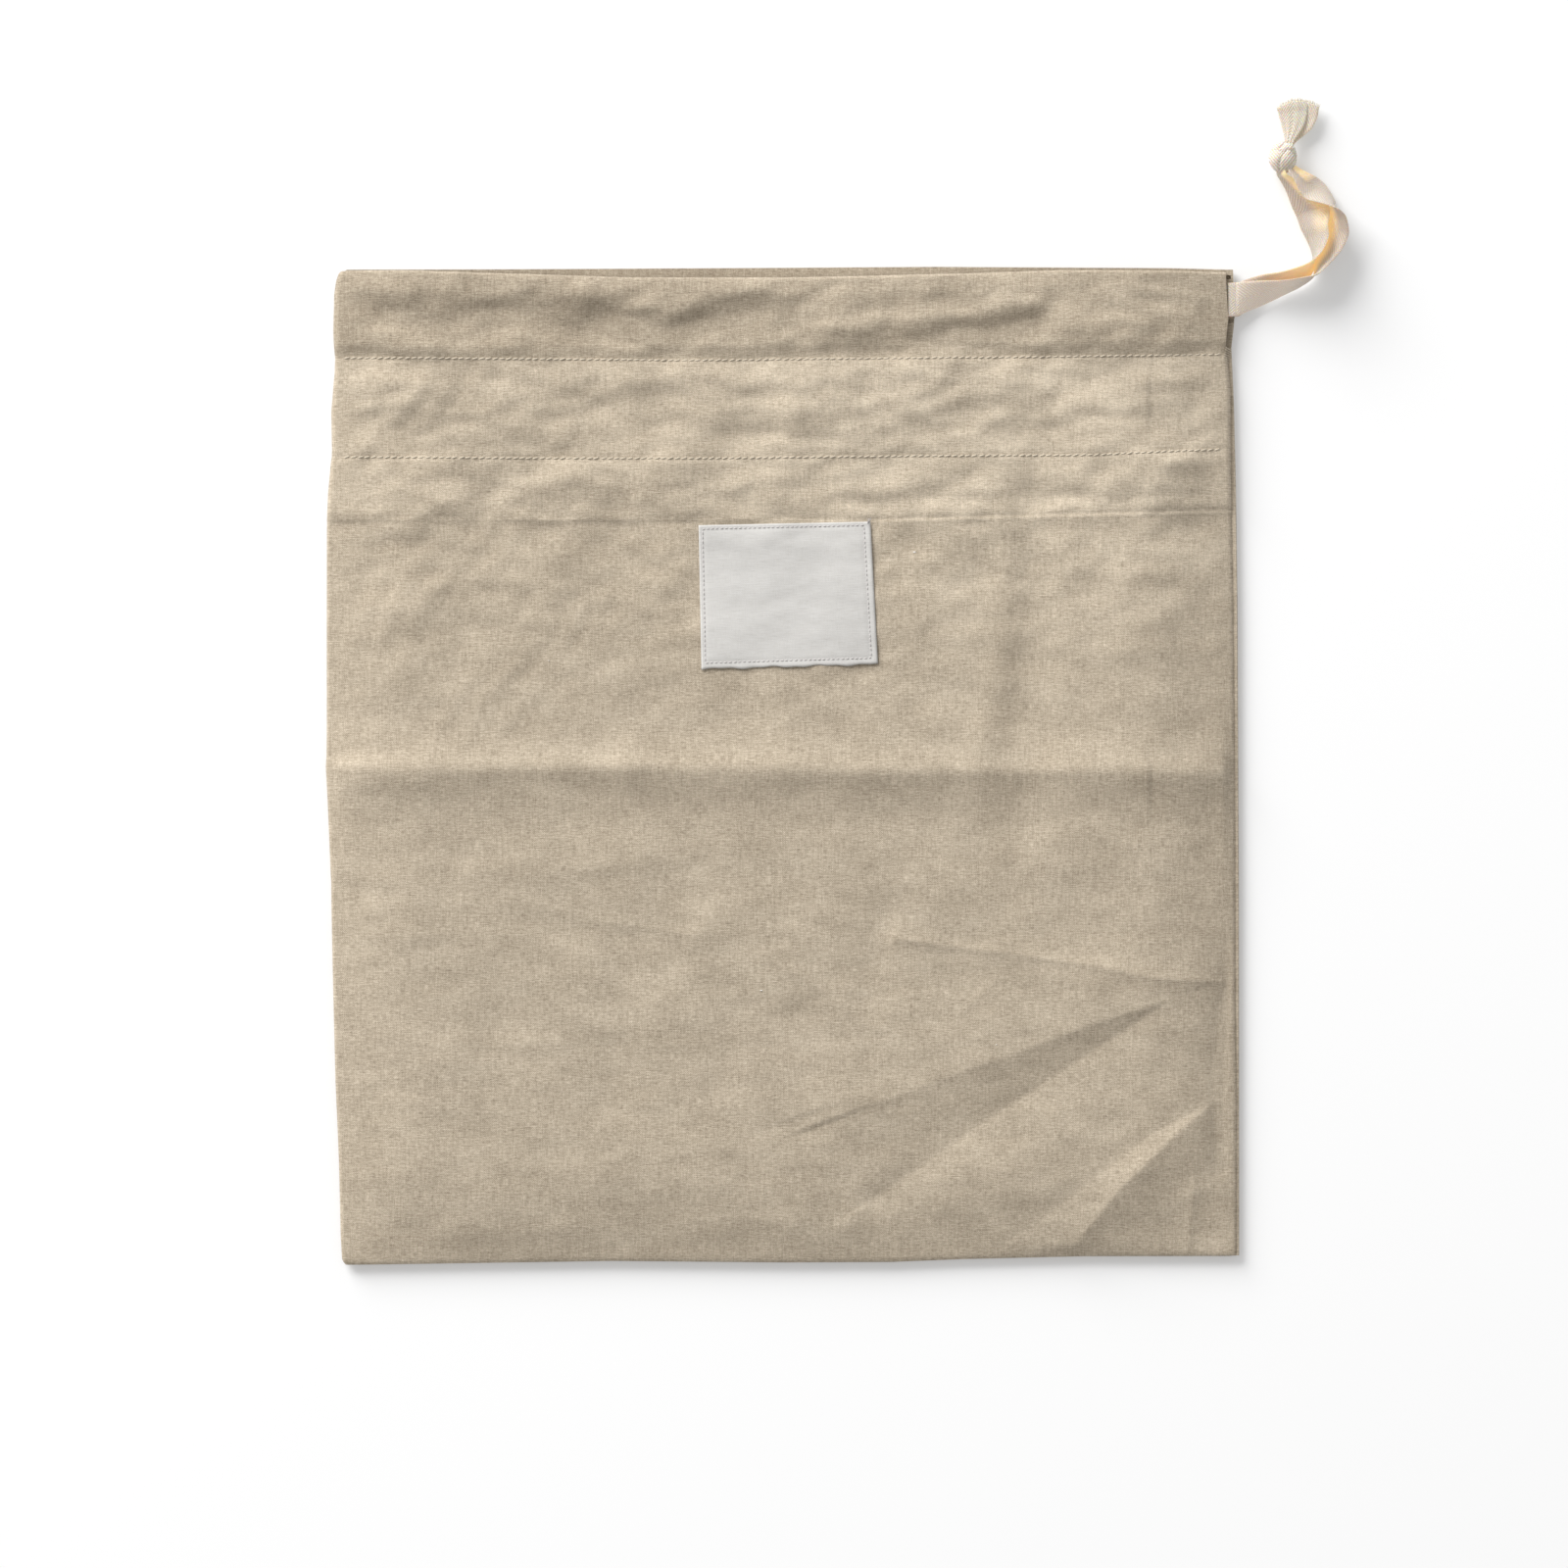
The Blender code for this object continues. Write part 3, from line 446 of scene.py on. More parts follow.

# Painted light and shade up the bag, lighter from just below the hem and darker over the band: place up the
# bag, run over which it comes in, and tint
PAINTED_TINTS_UP_BAG = [(88, 12, 0.04), (154, 10, -0.145)]

# Painted light at the upper right, which makes the cloth lighter there: where it starts and the run over
# which it comes in, and its tint
PAINTED_LIGHT_ACROSS = (-60, 60)
PAINTED_LIGHT_UP = (20, 60)
PAINTED_LIGHT_TINT = 0.07

# Label: its yarn and shades
LABEL_YARN = {"Yarn": 0.34, "Slub": 5.0, "Unevenness": 0.7}
LABEL_SHADES = [(0.1, (0.46, 0.445, 0.42)), (0.5, (0.575, 0.56, 0.535)), (0.9, (0.65, 0.64, 0.62))]

# Cotton: shades of the weave; the orange of painted shade where light has come through the tape's turns, an
# orange painted glow there, and a whitish painted glow that lightens shaded faces
COTTON_SHADES = [(0.15, (0.44, 0.37, 0.28)), (0.5, (0.615, 0.56, 0.475)), (0.85, (0.71, 0.67, 0.60))]
PAINTED_SHADE_ORANGE = (0.76, 0.64, 0.42)
PAINTED_ORANGE_GLOW = (0.29, 0.20, 0.09)
PAINTED_PALE_GLOW = (0.32, 0.28, 0.235)

# Threads: darker and lighter shade, and how long a ply's twist is
HEM_THREAD = ((0.46, 0.39, 0.29), (0.72, 0.65, 0.53), 0.25)
LABEL_THREAD = ((0.44, 0.41, 0.40), (0.62, 0.59, 0.58), 0.25)
FRAYED_YARN = ((0.52, 0.45, 0.33), (0.76, 0.70, 0.58), 0.4)
LINT = ((0.80, 0.78, 0.74), (0.95, 0.94, 0.92), 0.4)

# Studio, in metres: the view's width at the table, the light, and the floor's tone and own light
CAMERA = {"place": (0.0004, -0.0065, 3.0), "view_width": 0.6054}
KEY_LIGHT = {"place": (-3.3, 4.3, 2.87), "size": 4.2, "power": 596}
FILL_STRENGTH = 0.5
FLOOR_TONE = 0.69
FLOOR_GLOW = 0.22


# Heights of the cloth, in millimetres


def ease(value):
    """Smooth step from 0 to 1."""
    t = np.clip(value, 0, 1)
    return t * t * (3 - 2 * t)


def swell(value):
    """Quarter of a sine: rises at once and levels off."""
    return np.sin(np.pi / 2 * np.clip(value, 0, 1))


def round_edge(distance, radius):
    """Height share of a rounded edge, at a distance in from it."""
    t = np.clip(distance / radius, 0, 1)
    return np.sqrt(1 - (1 - t) ** 2)


def side(table, place):
    """Reads an outline table at one or many places."""
    along, across = zip(*table)
    return np.interp(place, along, across)


def wall(x, y):
    """Thickness of the cloth: one ply, then the hem, then the band with the channel."""
    hem = ease((y - side(HEM_LINE, x) + HEM_EASE_START) / HEM_EASE)
    band = ease((y - side(STITCH_LINE, x)) / BAND_EASE)
    return PLY + (HEM_WALL - PLY) * hem + (BAND_WALL - HEM_WALL) * band


def stretches(line, x, y):
    """For each stretch of a line: how far a place is to its left, past an end, and past its far end."""
    for (x0, y0), (x1, y1) in zip(line[:-1], line[1:]):
        run = math.hypot(x1 - x0, y1 - y0)
        ux, uy = (x1 - x0) / run, (y1 - y0) / run
        along = (x - x0) * ux + (y - y0) * uy
        across = (y - y0) * ux - (x - x0) * uy
        beyond = np.maximum(along - run, 0)
        yield across, np.maximum(-along, beyond), beyond


def line_distance(line, x, y):
    """Distance of a place from a line of points."""
    return np.min([np.hypot(across, past) for across, past, _ in stretches(line, x, y)], axis=0)


def fold_height(fold, x, y):
    """Height that one fold adds at a place."""
    x0, y0, x1, y1, height, left, right = fold
    across, past, _ = next(stretches([(x0, y0), (x1, y1)], x, y))
    reach = np.where(across > 0, left, right)
    return height * np.exp(-(across / reach) ** 2 - (past / (FOLD_END * reach)) ** 2)


def wave_height(wave, x, y):
    """Height of one soft wave at a place."""
    heading = math.radians(wave["heading"])
    run = x * math.cos(heading) + y * math.sin(heading)
    return wave["height"] * np.sin(2 * np.pi * run / wave["length"] + wave["start"])


def edge_share(x, y, fade=RELIEF_FADE):
    """How far the folds have faded out towards the cloth's edges: 0 at an edge, 1 inside."""
    nearest = np.minimum(x - side(LEFT_FOLD, y), side(FRONT_RIGHT, y) - x)
    nearest = np.minimum(nearest, y - side(BOTTOM_SEAM, x))
    nearest = np.minimum(nearest, side(FRONT_TOP, x) - y + fade / 2)
    return ease(nearest / fade)


def relief(x, y):
    """Main folds and waves of the front."""
    total = sum(fold_height(fold, x, y) for fold in FOLDS.values())
    total = (total + sum(wave_height(wave, x, y) for wave in WAVES)) * FOLD_GAIN
    below = np.maximum(RELIEF_KNEE - total, 0) / RELIEF_BELOW_KNEE
    total = np.where(total < RELIEF_KNEE, RELIEF_KNEE - RELIEF_BELOW_KNEE * np.tanh(below), total)
    return total * edge_share(x, y)


def puff(x, y):
    """How far the front stands off the back: 0 at the fold and the seams, 1 in the middle."""
    share = swell((x - side(LEFT_FOLD, y)) / PUFF_RUN)
    share = share * swell((side(FRONT_RIGHT, y) - x) / PUFF_RUN)
    return share * swell((y - side(BOTTOM_SEAM, x)) / PUFF_RUN)


def roof(x, y):
    """Inner face of the front."""
    shut = wall(x, y) + GAP_SIDE
    return shut + (ROOF_FULL - shut) * puff(x, y) + relief(x, y)


def front(x, y):
    """Outer face of the front, without its fine creases."""
    return roof(x, y) + wall(x, y)


def crease_height(crease, x, y, power):
    """Height of one crease: it falls off to either side of its line, and thins out at its ends."""
    line, height, left, right = crease
    nearest = np.full(np.shape(x), np.inf)
    falloff = np.zeros(np.shape(x))
    for across, past, _ in stretches(line, x, y):
        distance = np.hypot(across, past)
        reach = np.where(across > 0, left, right)
        value = np.exp(-(np.abs(across) / reach) ** power - (past / reach) ** 2)
        falloff = np.where(distance < nearest, value, falloff)
        nearest = np.minimum(nearest, distance)
    return height * falloff


def signed_distance(line, x, y):
    """Distance of a place from a line, positive to its left, and how far it is past its far end."""
    nearest = np.full(np.shape(x), np.inf)
    signed = np.zeros(np.shape(x))
    far = np.zeros(np.shape(x))
    for across, past, beyond in stretches(line, x, y):
        distance = np.hypot(across, past)
        closer = distance < nearest
        signed = np.where(closer, np.where(across > 0, distance, -distance), signed)
        far = np.where(closer, beyond, far)
        nearest = np.minimum(nearest, distance)
    return signed, far


def facet_height(facet, x, y):
    """Height of a flat facet, which slopes from its first line and falls off past its second."""
    first, second, slope, most, fade = facet
    inside, past_first = signed_distance(first, x, y)
    outside, past_second = signed_distance(second, x, y)
    width = np.maximum(inside - outside, 0)
    height = most * np.tanh(slope * width / most)
    share = np.where(outside < 0, inside / np.maximum(width, 0.01), np.exp(-outside / fade))
    past = np.minimum(past_first, past_second)
    return np.where(inside > 0, height * np.clip(share, 0, 1) * np.exp(-(past / fade) ** 2), 0)


def ripple_height(ripple, x, y):
    """Height of one patch of fine diagonal ripples, whose lines wander a little."""
    heading = math.radians(ripple["heading"])
    (cx, cy), (hx, hy) = ripple["middle"], ripple["half"]
    inside = np.exp(-((x - cx) / hx) ** 4 - ((y - cy) / hy) ** 4)
    wander = sum(far * np.sin(x / wide + y / high) for far, wide, high in RIPPLE_WANDER)
    run = x * math.cos(heading) + y * math.sin(heading) + wander
    swing = RIPPLE_SWING["least"] + RIPPLE_SWING["more"] * np.sin(x / RIPPLE_SWING["across"]
                                                                  + y / RIPPLE_SWING["up"])
    return ripple["height"] * inside * swing * np.sin(2 * np.pi * run / ripple["length"])


def noise_height(layer, x, y):
    """Height of one layer of the crumple, read from Blender's own fixed noise."""
    def read(px, py):
        return noise.noise(Vector((px / layer["across"], py / layer["up"], layer["place"])))
    return layer["height"] * np.vectorize(read, otypes=[float])(x, y)


def line_groove(table, x, y, place, depth, width):
    """A narrow groove beside an outline table's line, or a ridge where its depth is negative."""
    return -depth * np.exp(-((y - place - side(table, x)) / width) ** 2)


def stitch_pucker(table, x, y):
    """Dips where a stitch row pulls the cloth down, stitch by stitch."""
    pull = STITCH_PULL["even"] + STITCH_PULL["uneven"] * np.cos(2 * np.pi * x / STITCH_PITCH)
    near = np.exp(-((y - side(table, x)) / STITCH_TUG["reach"]) ** 2)
    tug = STITCH_TUG["height"] * np.sin(x / STITCH_TUG["length"] + np.sin(x / STITCH_TUG["sway"])) * near
    return line_groove(table, x, y, 0, STITCH_PULL["depth"], STITCH_PULL["width"]) * pull + tug


def hem_mark(x, y):
    """Where the hem's inner edge shows through: a thin ridge at the left, a groove at the right."""
    right = ease((x - HEM_MARK_TURN) / HEM_MARK_BLEND)
    grooves = sum(line_groove(HEM_LINE, x, y, *groove) for groove in HEM_GROOVES)
    return line_groove(HEM_LINE, x, y, *HEM_RIDGE) * (1 - right) + grooves * right


def fine(x, y):
    """Creases, ripples and crumple that lie on the main folds."""
    total = SOFT_GAIN * sum(crease_height(crease, x, y, 2) for crease in SOFT_CREASES.values())
    total = total + RIPPLE_GAIN * sum(ripple_height(ripple, x, y) for ripple in RIPPLES)
    crumpled = CRUMPLE_CALM + (1 - CRUMPLE_CALM) * ease((y - CRUMPLE_RISE[0]) / CRUMPLE_RISE[1])
    total = total + CRUMPLE_GAIN * crumpled * sum(noise_height(layer, x, y) for layer in CRUMPLE)
    total = total * edge_share(x, y)
    crisp = CRISP_GAIN * sum(crease_height(crease, x, y, 1) for crease in CRISP_CREASES.values())
    crisp = crisp + sum(facet_height(facet, x, y) for facet in FACETS.values())
    total = total + crisp * edge_share(x, y, CRISP_FADE)
    total = total + stitch_pucker(STITCH_LINE, x, y) + stitch_pucker(LOWER_STITCH, x, y)
    total = total + hem_mark(x, y)
    band = ease((y - side(STITCH_LINE, x)) / BAND_EASE)
    least = -FINE_DEEPEST - HOLLOW_ROOM * puff(x, y) * (1 - band)
    raised = total + BAND_RAISE * band * edge_share(x, y)
    return least + FINE_SOFTNESS * np.logaddexp(0, (raised - least) / FINE_SOFTNESS)


def skin(x, y):
    """Outer face of the front as it is seen."""
    return front(x, y) + fine(x, y)


# Meshes


def grid_faces(rows, columns, first=0, flip=False):
    """Quads over a grid of vertices that starts at a number."""
    faces = []
    for j in range(rows - 1):
        for k in range(columns - 1):
            a = first + j * columns + k
            quad = (a, a + 1, a + columns + 1, a + columns)
            faces.append(quad[::-1] if flip else quad)
    return faces


def add_mesh(name, points, faces, smooth=True):
    """Object from points in millimetres, with its faces pointing out."""
    data = bpy.data.meshes.new(name)
    data.from_pydata([tuple(point) for point in np.array(points) * MM], [], faces)
    work = bmesh.new()
    work.from_mesh(data)
    bmesh.ops.recalc_face_normals(work, faces=work.faces)
    work.to_mesh(data)
    work.free()
    data.polygons.foreach_set("use_smooth", [smooth] * len(data.polygons))
    piece = bpy.data.objects.new(name, data)
    bpy.context.scene.collection.objects.link(piece)
    return piece


def slab(name, upper, lower):
    """Closed solid between two grids of points with the same rows and columns."""
    rows, columns = upper.shape[:2]
    count = rows * columns
    faces = grid_faces(rows, columns) + grid_faces(rows, columns, count, flip=True)
    rim = [k for k in range(columns)]
    rim += [j * columns + columns - 1 for j in range(1, rows)]
    rim += [(rows - 1) * columns + k for k in range(columns - 2, -1, -1)]
    rim += [j * columns for j in range(rows - 2, 0, -1)]
    for a, b in zip(rim, rim[1:] + rim[:1]):
        faces.append((b, a, a + count, b + count))
    points = np.concatenate([upper.reshape(-1, 3), lower.reshape(-1, 3)])
    return add_mesh(name, points, faces)


def front_rows(x):
    """Places of the front's rows up the bag at x, denser at the seam, the hem, the stitches and the mouth."""
    low, high = side(BOTTOM_SEAM, x), side(FRONT_TOP, x)
    hem, lower, band = (side(table, x) for table in (HEM_LINE, LOWER_STITCH, STITCH_LINE))
    room = ROW_ROOM["row"]
    return np.concatenate([
        low + np.array(SEAM_STEPS),
        np.linspace(low + ROW_ROOM["seam"], ROW_TURN, FRONT_ROWS["low"], endpoint=False),
        np.linspace(ROW_TURN, hem - room, FRONT_ROWS["body"]),
        hem + np.array(HEM_STEPS),
        np.linspace(hem + ROW_ROOM["hem"], lower - room, FRONT_ROWS["hem"]),
        lower + np.array(STITCH_STEPS),
        np.linspace(lower + room, band - room, FRONT_ROWS["middle"]),
        band + np.array(STITCH_STEPS),
        np.linspace(band + room, high - ROW_ROOM["mouth"], FRONT_ROWS["band"]),
        high - np.array(MOUTH_STEPS),
    ])


def cloth_height(x, y):
    """Height of the outer skin, rounded down to the seams and at the mouth's edge."""
    in_slit = y > SLIT_BOTTOM
    low = round_edge(y - side(BOTTOM_SEAM, x) + EDGE_START, BOTTOM_ROUND)
    inside = side(FRONT_RIGHT, y) - x
    slit = 1 - SLIT_EDGE["drop"] * (1 - round_edge(inside + SLIT_EDGE["start"], SLIT_EDGE["radius"]))
    right = np.where(in_slit, slit, round_edge(inside + RIGHT_START, RIGHT_ROUND))
    mouth = round_edge(side(FRONT_TOP, x) - y + EDGE_START, MOUTH_ROUND)
    height = SEAM_EDGE + (skin(x, y) - SEAM_EDGE) * low * right - MOUTH_DROP * (1 - mouth)
    return np.maximum(height, np.where(in_slit, SLIT_LEDGE, SEAM_EDGE) + OVER_LEDGE)


def outer_skin():
    """Grid over the whole outside of the front: fold, front, ledges of the back."""
    share = np.append(np.linspace(0, COLUMN_TURN, FRONT_COLUMNS["left"], endpoint=False),
                      np.linspace(COLUMN_TURN, 1, FRONT_COLUMNS["right"]))
    guess = FRONT_SPAN[0] + (FRONT_SPAN[1] - FRONT_SPAN[0]) * share
    y = np.array([front_rows(x) for x in guess]).T
    top = y[-1]
    back_top = np.maximum(side(BACK_TOP, guess), top + BACK_LIP["least"])
    edge_rows = [top + BACK_LIP["gap"], back_top - BACK_LIP["round"], back_top]
    y = np.vstack([y] + edge_rows)
    start = side(LEFT_FOLD, y)
    half = front(start + FOLD_START, y) / 2
    x = start + half + (side(FRONT_RIGHT, y) - start - half) * share
    z = cloth_height(x, y)
    z[-3:] = [[SLIT_LEDGE], [SLIT_LEDGE], [SLIT_LEDGE - BACK_LIP["round"]]]
    angles = np.radians(np.linspace(-FOLD_ANGLE, FOLD_ANGLE, FOLD_STEPS))
    left_y = np.repeat(y[:, :1], FOLD_STEPS, axis=1)
    left_half = np.repeat(z[:, :1] / 2, FOLD_STEPS, axis=1)
    left_x = x[:, :1] - left_half * np.cos(angles)
    left_z = left_half * (1 + np.sin(angles))
    ledge = np.where(y[:, -1:] > SLIT_BOTTOM, SLIT_LEDGE, SEAM_EDGE)
    ledge[-1] -= BACK_LIP["round"]
    right_y = np.repeat(y[:, -1:], 3, axis=1)
    back_x = side(BACK_RIGHT, y[:, -1:])
    right_x = np.hstack([side(FRONT_RIGHT, y[:, -1:]) + SEAM_LIP["gap"], back_x - SEAM_LIP["gap"], back_x])
    right_z = np.hstack([ledge, ledge, ledge - SEAM_LIP["round"]])
    grids = [np.hstack([left_x, x, right_x]), np.hstack([left_y, y, right_y]),
             np.hstack([left_z, z, right_z])]
    return np.dstack(grids)


def closed_on_table(name, upper):
    """Closes a grid of points down to the table with walls and one flat face."""
    rows, columns = upper.shape[:2]
    points = list(upper.reshape(-1, 3))
    faces = grid_faces(rows, columns)
    fold = FOLD_STEPS
    left, right = [], []
    for j in range(rows):
        left.append(len(points))
        points.append((upper[j, fold, 0], upper[j, 0, 1], 0))
        right.append(len(points))
        points.append((upper[j, -1, 0], upper[j, -1, 1], 0))
    bottom, top = [left[0]], [left[-1]]
    for row, edge in ((0, bottom), (rows - 1, top)):
        for k in range(fold + 1, columns - 1):
            edge.append(len(points))
            points.append((upper[row, k, 0], upper[row, k, 1], 0))
    bottom.append(right[0])
    top.append(right[-1])
    for j in range(rows - 1):
        faces.append((left[j], left[j + 1], (j + 1) * columns, j * columns))
        faces.append((right[j + 1], right[j], (j + 1) * columns - 1, (j + 2) * columns - 1))
    for row, edge in ((0, bottom), (rows - 1, top)):
        for k in range(len(edge) - 1):
            a = row * columns + fold + k
            faces.append((edge[k], edge[k + 1], a + 1, a))
        faces.append([edge[0]] + [row * columns + k for k in range(fold + 1)])
    faces.append(bottom + right[1:-1] + top[::-1] + left[-2:0:-1])
    return add_mesh(name, points, faces)


def hollow_cutter():
    """The space inside the bag, running out through the mouth and the slit."""
    low = side(BOTTOM_SEAM, 0) + SEAM_INSIDE
    places = list(np.linspace(low, side(FRONT_TOP, 0) - 1, HOLLOW_ROWS))
    places += [SLIT_BOTTOM - HOLLOW_CLEAR, SLIT_BOTTOM, side(BACK_TOP, 0) + PAST_EDGE]
    upper, lower = [], []
    for y in sorted(places):
        left = side(LEFT_FOLD, y) + wall(side(LEFT_FOLD, y), y) + HOLLOW_CLEAR
        right = side(FRONT_RIGHT, y) - SEAM_INSIDE
        last = side(BACK_RIGHT, y) + PAST_EDGE if y >= SLIT_BOTTOM else right + HOLLOW_CLEAR
        x = np.append(np.linspace(left, right, HOLLOW_COLUMNS), last)
        inside = np.maximum(y, side(BOTTOM_SEAM, x) + SEAM_INSIDE)
        reading = (np.minimum(x, right + HOLLOW_READING["right"]),
                   np.full(x.shape, min(y, HOLLOW_READING["top"])))
        over = roof(*reading) - HOLLOW_ROOM * puff(*reading)
        lower.append(np.column_stack([x, inside, wall(x, np.full(x.shape, y))]))
        upper.append(np.column_stack([x, inside, over]))
    return slab("bag_hollow", np.array(upper), np.array(lower))


def channel_cutter():
    """The flat space of the channel, through the front, round the fold and through the back."""
    upper, lower = [], []
    tape = [TAPE_AXIS - TAPE_WIDTH / 2, TAPE_AXIS, TAPE_AXIS + TAPE_WIDTH / 2]
    for y in [CHANNEL["low"]] + tape + [CHANNEL["high"]]:
        left = side(LEFT_FOLD, y)
        half = front(left + FOLD_START, y) / 2
        bend = left + half
        flat_end = bend + CHANNEL_TURN["past"]
        points = []
        for x in np.linspace(CHANNEL["end"], flat_end, CHANNEL_COLUMNS):
            inside = min(x, side(FRONT_RIGHT, y))
            points.append((x, front(inside, y) - wall(inside, y) / 2, 0, 1))
        for angle in np.radians(np.linspace(CHANNEL_TURN["angle"], -CHANNEL_TURN["angle"],
                                            CHANNEL_TURN["steps"])):
            radius = half - BAND_WALL / 2
            points.append((bend - radius * np.cos(angle), half + radius * np.sin(angle),
                           -np.cos(angle), np.sin(angle)))
        for x in (flat_end, 0, CHANNEL["end"]):
            points.append((x, BAND_WALL / 2, 0, -1))
        first, last = points[0], points[-1]
        points.insert(0, (first[0] + PAST_EDGE, *first[1:]))
        points.append((last[0] + PAST_EDGE, *last[1:]))
        half_gap = CHANNEL["height"] / 2
        upper.append([(px + nx * half_gap, y, pz + nz * half_gap) for px, pz, nx, nz in points])
        lower.append([(px - nx * half_gap, y, pz - nz * half_gap) for px, pz, nx, nz in points])
    return slab("bag_channel", np.array(upper), np.array(lower))


def slit_hole_cutter(number, hole):
    """A small gap beside the tape, where the slit's two layers stand open."""
    x0, y0, x1, y1 = hole
    grid = [[(x0, y0), (x1, y0 + 0.4)], [(x0 + 0.3, y1), (x1, y1 - 0.3)]]
    upper = np.array([[(x, y, 2 * ROOF_FULL) for x, y in row] for row in grid])
    lower = np.array([[(x, y, SLIT_HOLE_FLOOR) for x, y in row] for row in grid])
    return slab(f"slit_hole_{number}", upper, lower)


def cut_and_apply(piece, cutters):
    """Takes the cutters out of the piece and removes them."""
    for cutter in cutters:
        modifier = piece.modifiers.new(cutter.name, "BOOLEAN")
        modifier.operation = "DIFFERENCE"
        modifier.solver = "MANIFOLD"
        modifier.object = cutter
    graph = bpy.context.evaluated_depsgraph_get()
    result = bpy.data.meshes.new_from_object(piece.evaluated_get(graph))
    piece.modifiers.clear()
    piece.data = result
    for cutter in cutters:
        bpy.data.objects.remove(cutter)
    result.polygons.foreach_set("use_smooth", [True] * len(result.polygons))
    result.set_sharp_from_angle(angle=math.radians(50))


# Materials


class Value:
    """A number or colour that a shader's nodes work out; sums are written with it as with numbers."""

    def __init__(self, tree, socket):
        self.tree = tree
        self.socket = socket

    def join(self, operation, *others):
        """Result of a math node that takes this value and the others."""
        node = self.tree.nodes.new("ShaderNodeMath")
        node.operation = operation
        feed(node, dict(enumerate((self, *others))))
        return Value(self.tree, node.outputs[0])

    def __add__(self, other):
        return self.join("ADD", other)

    def __sub__(self, other):
        return self.join("SUBTRACT", other)

    def __mul__(self, other):
        return self.join("MULTIPLY", other)

    def __truediv__(self, other):
        return self.join("DIVIDE", other)


def feed(node, values):
    """Sets inputs of a node, by name or number, to plain values or links them to worked-out ones."""
    for label, value in values.items():
        if isinstance(value, Value):
            value.tree.links.new(value.socket, node.inputs[label])
        else:
            node.inputs[label].default_value = value


def split_vector(tree, socket):
    """The three numbers of a vector."""
    node = tree.nodes.new("ShaderNodeSeparateXYZ")
    feed(node, {0: Value(tree, socket)})
    return [Value(tree, part) for part in node.outputs]


def noise_value(place, detail=2.0, roughness=0.5):
    """Noise at a place of two or three numbers, about 0.5 on average."""
    tree = place[0].tree
    vector = tree.nodes.new("ShaderNodeCombineXYZ")
    feed(vector, dict(enumerate(place)))
    node = tree.nodes.new("ShaderNodeTexNoise")
    feed(node, {"Vector": Value(tree, vector.outputs[0]), "Scale": 1.0, "Detail": detail,
                "Roughness": roughness})
    return Value(tree, node.outputs["Fac"])


def new_group(name, inputs):
    """Node group with float inputs; returns it with their values."""
    group = bpy.data.node_groups.new(name, "ShaderNodeTree")
    for label, value in inputs.items():
        socket = group.interface.new_socket(label, in_out="INPUT", socket_type="NodeSocketFloat")
        socket.default_value = value
    given = group.nodes.new("NodeGroupInput")
    return group, [Value(group, socket) for socket in given.outputs[:len(inputs)]]


def put_out(group, tint, height):
    """Ends a node group with its two outputs: how light a place is, and its height."""
    for label in ("Tint", "Height"):
        group.interface.new_socket(label, in_out="OUTPUT", socket_type="NodeSocketFloat")
    feed(group.nodes.new("NodeGroupOutput"), {"Tint": tint, "Height": height})
    return group


def use_group(group, values):
    """Places a node group among the nodes that feed it; returns its tint and its height."""
    tree = values["Across"].tree
    node = tree.nodes.new("ShaderNodeGroup")
    node.node_tree = group
    feed(node, values)
    return Value(tree, node.outputs["Tint"]), Value(tree, node.outputs["Height"])


def plain_weave_group():
    """Plain weave of uneven yarn, read in millimetres."""
    inputs = {"Across": 0, "Up": 0, "Yarn": 0.5, "Slub": 3.0, "Unevenness": 1.0}
    group, (across, up, yarn, slub, uneven) = new_group("plain_weave", inputs)
    weft = noise_value((across / slub, up / yarn), 3.0, 0.6)
    warp = noise_value((across / yarn, up / slub, 9.0), 3.0, 0.6)
    grain = noise_value((across / yarn, up / yarn, 21.0), 2.0, 0.6)
    tint = (weft * 1.3 + warp * 0.6 + grain * 0.9 - 1.4) * uneven + 0.5
    wave_x = (across / yarn * math.pi).join("SINE")
    wave_y = (up / yarn * math.pi).join("SINE")
    return put_out(group, tint, wave_x * wave_y * 0.25 + tint)


def herringbone_group():
    """Twill lines that meet in a V along the middle of a tape, read in millimetres."""
    inputs = {"Along": 0, "Across": 0, "Pitch": 1.4, "Half Width": TAPE_WIDTH / 2, "Fuzz": 1.0}
    group, (along, across, pitch, half_width, fuzz) = new_group("herringbone", inputs)
    distance = across.join("ABSOLUTE")
    wander = noise_value((along * 0.8, across * 0.8))
    run = along + distance * 1.25 + wander * 0.45
    lines = (run / pitch * (2 * math.pi)).join("SINE")
    ribs = (along * 9.0).join("SINE")
    edge = distance.join("GREATER_THAN", half_width - 0.9)
    shape = lines + (ribs - lines) * edge
    fibre = (noise_value((along * 3.4, across * 3.4, 5.0), 3.0, 0.6) - 0.5) * fuzz
    return put_out(group, shape * 0.26 + fibre + 0.5, shape * 0.5 + fibre)


def twisted_thread_group():
    """Slanted plies of a thread with a little fuzz, read in millimetres."""
    group, (across, up, ply) = new_group("twisted_thread", {"Across": 0, "Up": 0, "Ply": 0.25})
    plies = ((across + up) / ply * (2 * math.pi)).join("SINE")
    fuzz = noise_value((across * 4.0, up * 4.0), 2.0, 0.6)
    return put_out(group, plies * 0.2 + fuzz, plies * 0.5)


def material_base(name, roughness, sheen):
    """Material with a Principled shader of one roughness and a plain sheen."""
    material = bpy.data.materials.new(name)
    material.use_nodes = True
    shader = material.node_tree.nodes["Principled BSDF"]
    feed(shader, {"Roughness": roughness, "Specular IOR Level": 0.2, "Sheen Weight": sheen,
                  "Sheen Roughness": 0.6})
    return material, shader


def object_millimetres(material):
    """Place on the object in millimetres, as across and up."""
    tree = material.node_tree
    coordinates = tree.nodes.new("ShaderNodeTexCoord")
    return [part * (1 / MM) for part in split_vector(tree, coordinates.outputs["Object"])[:2]]


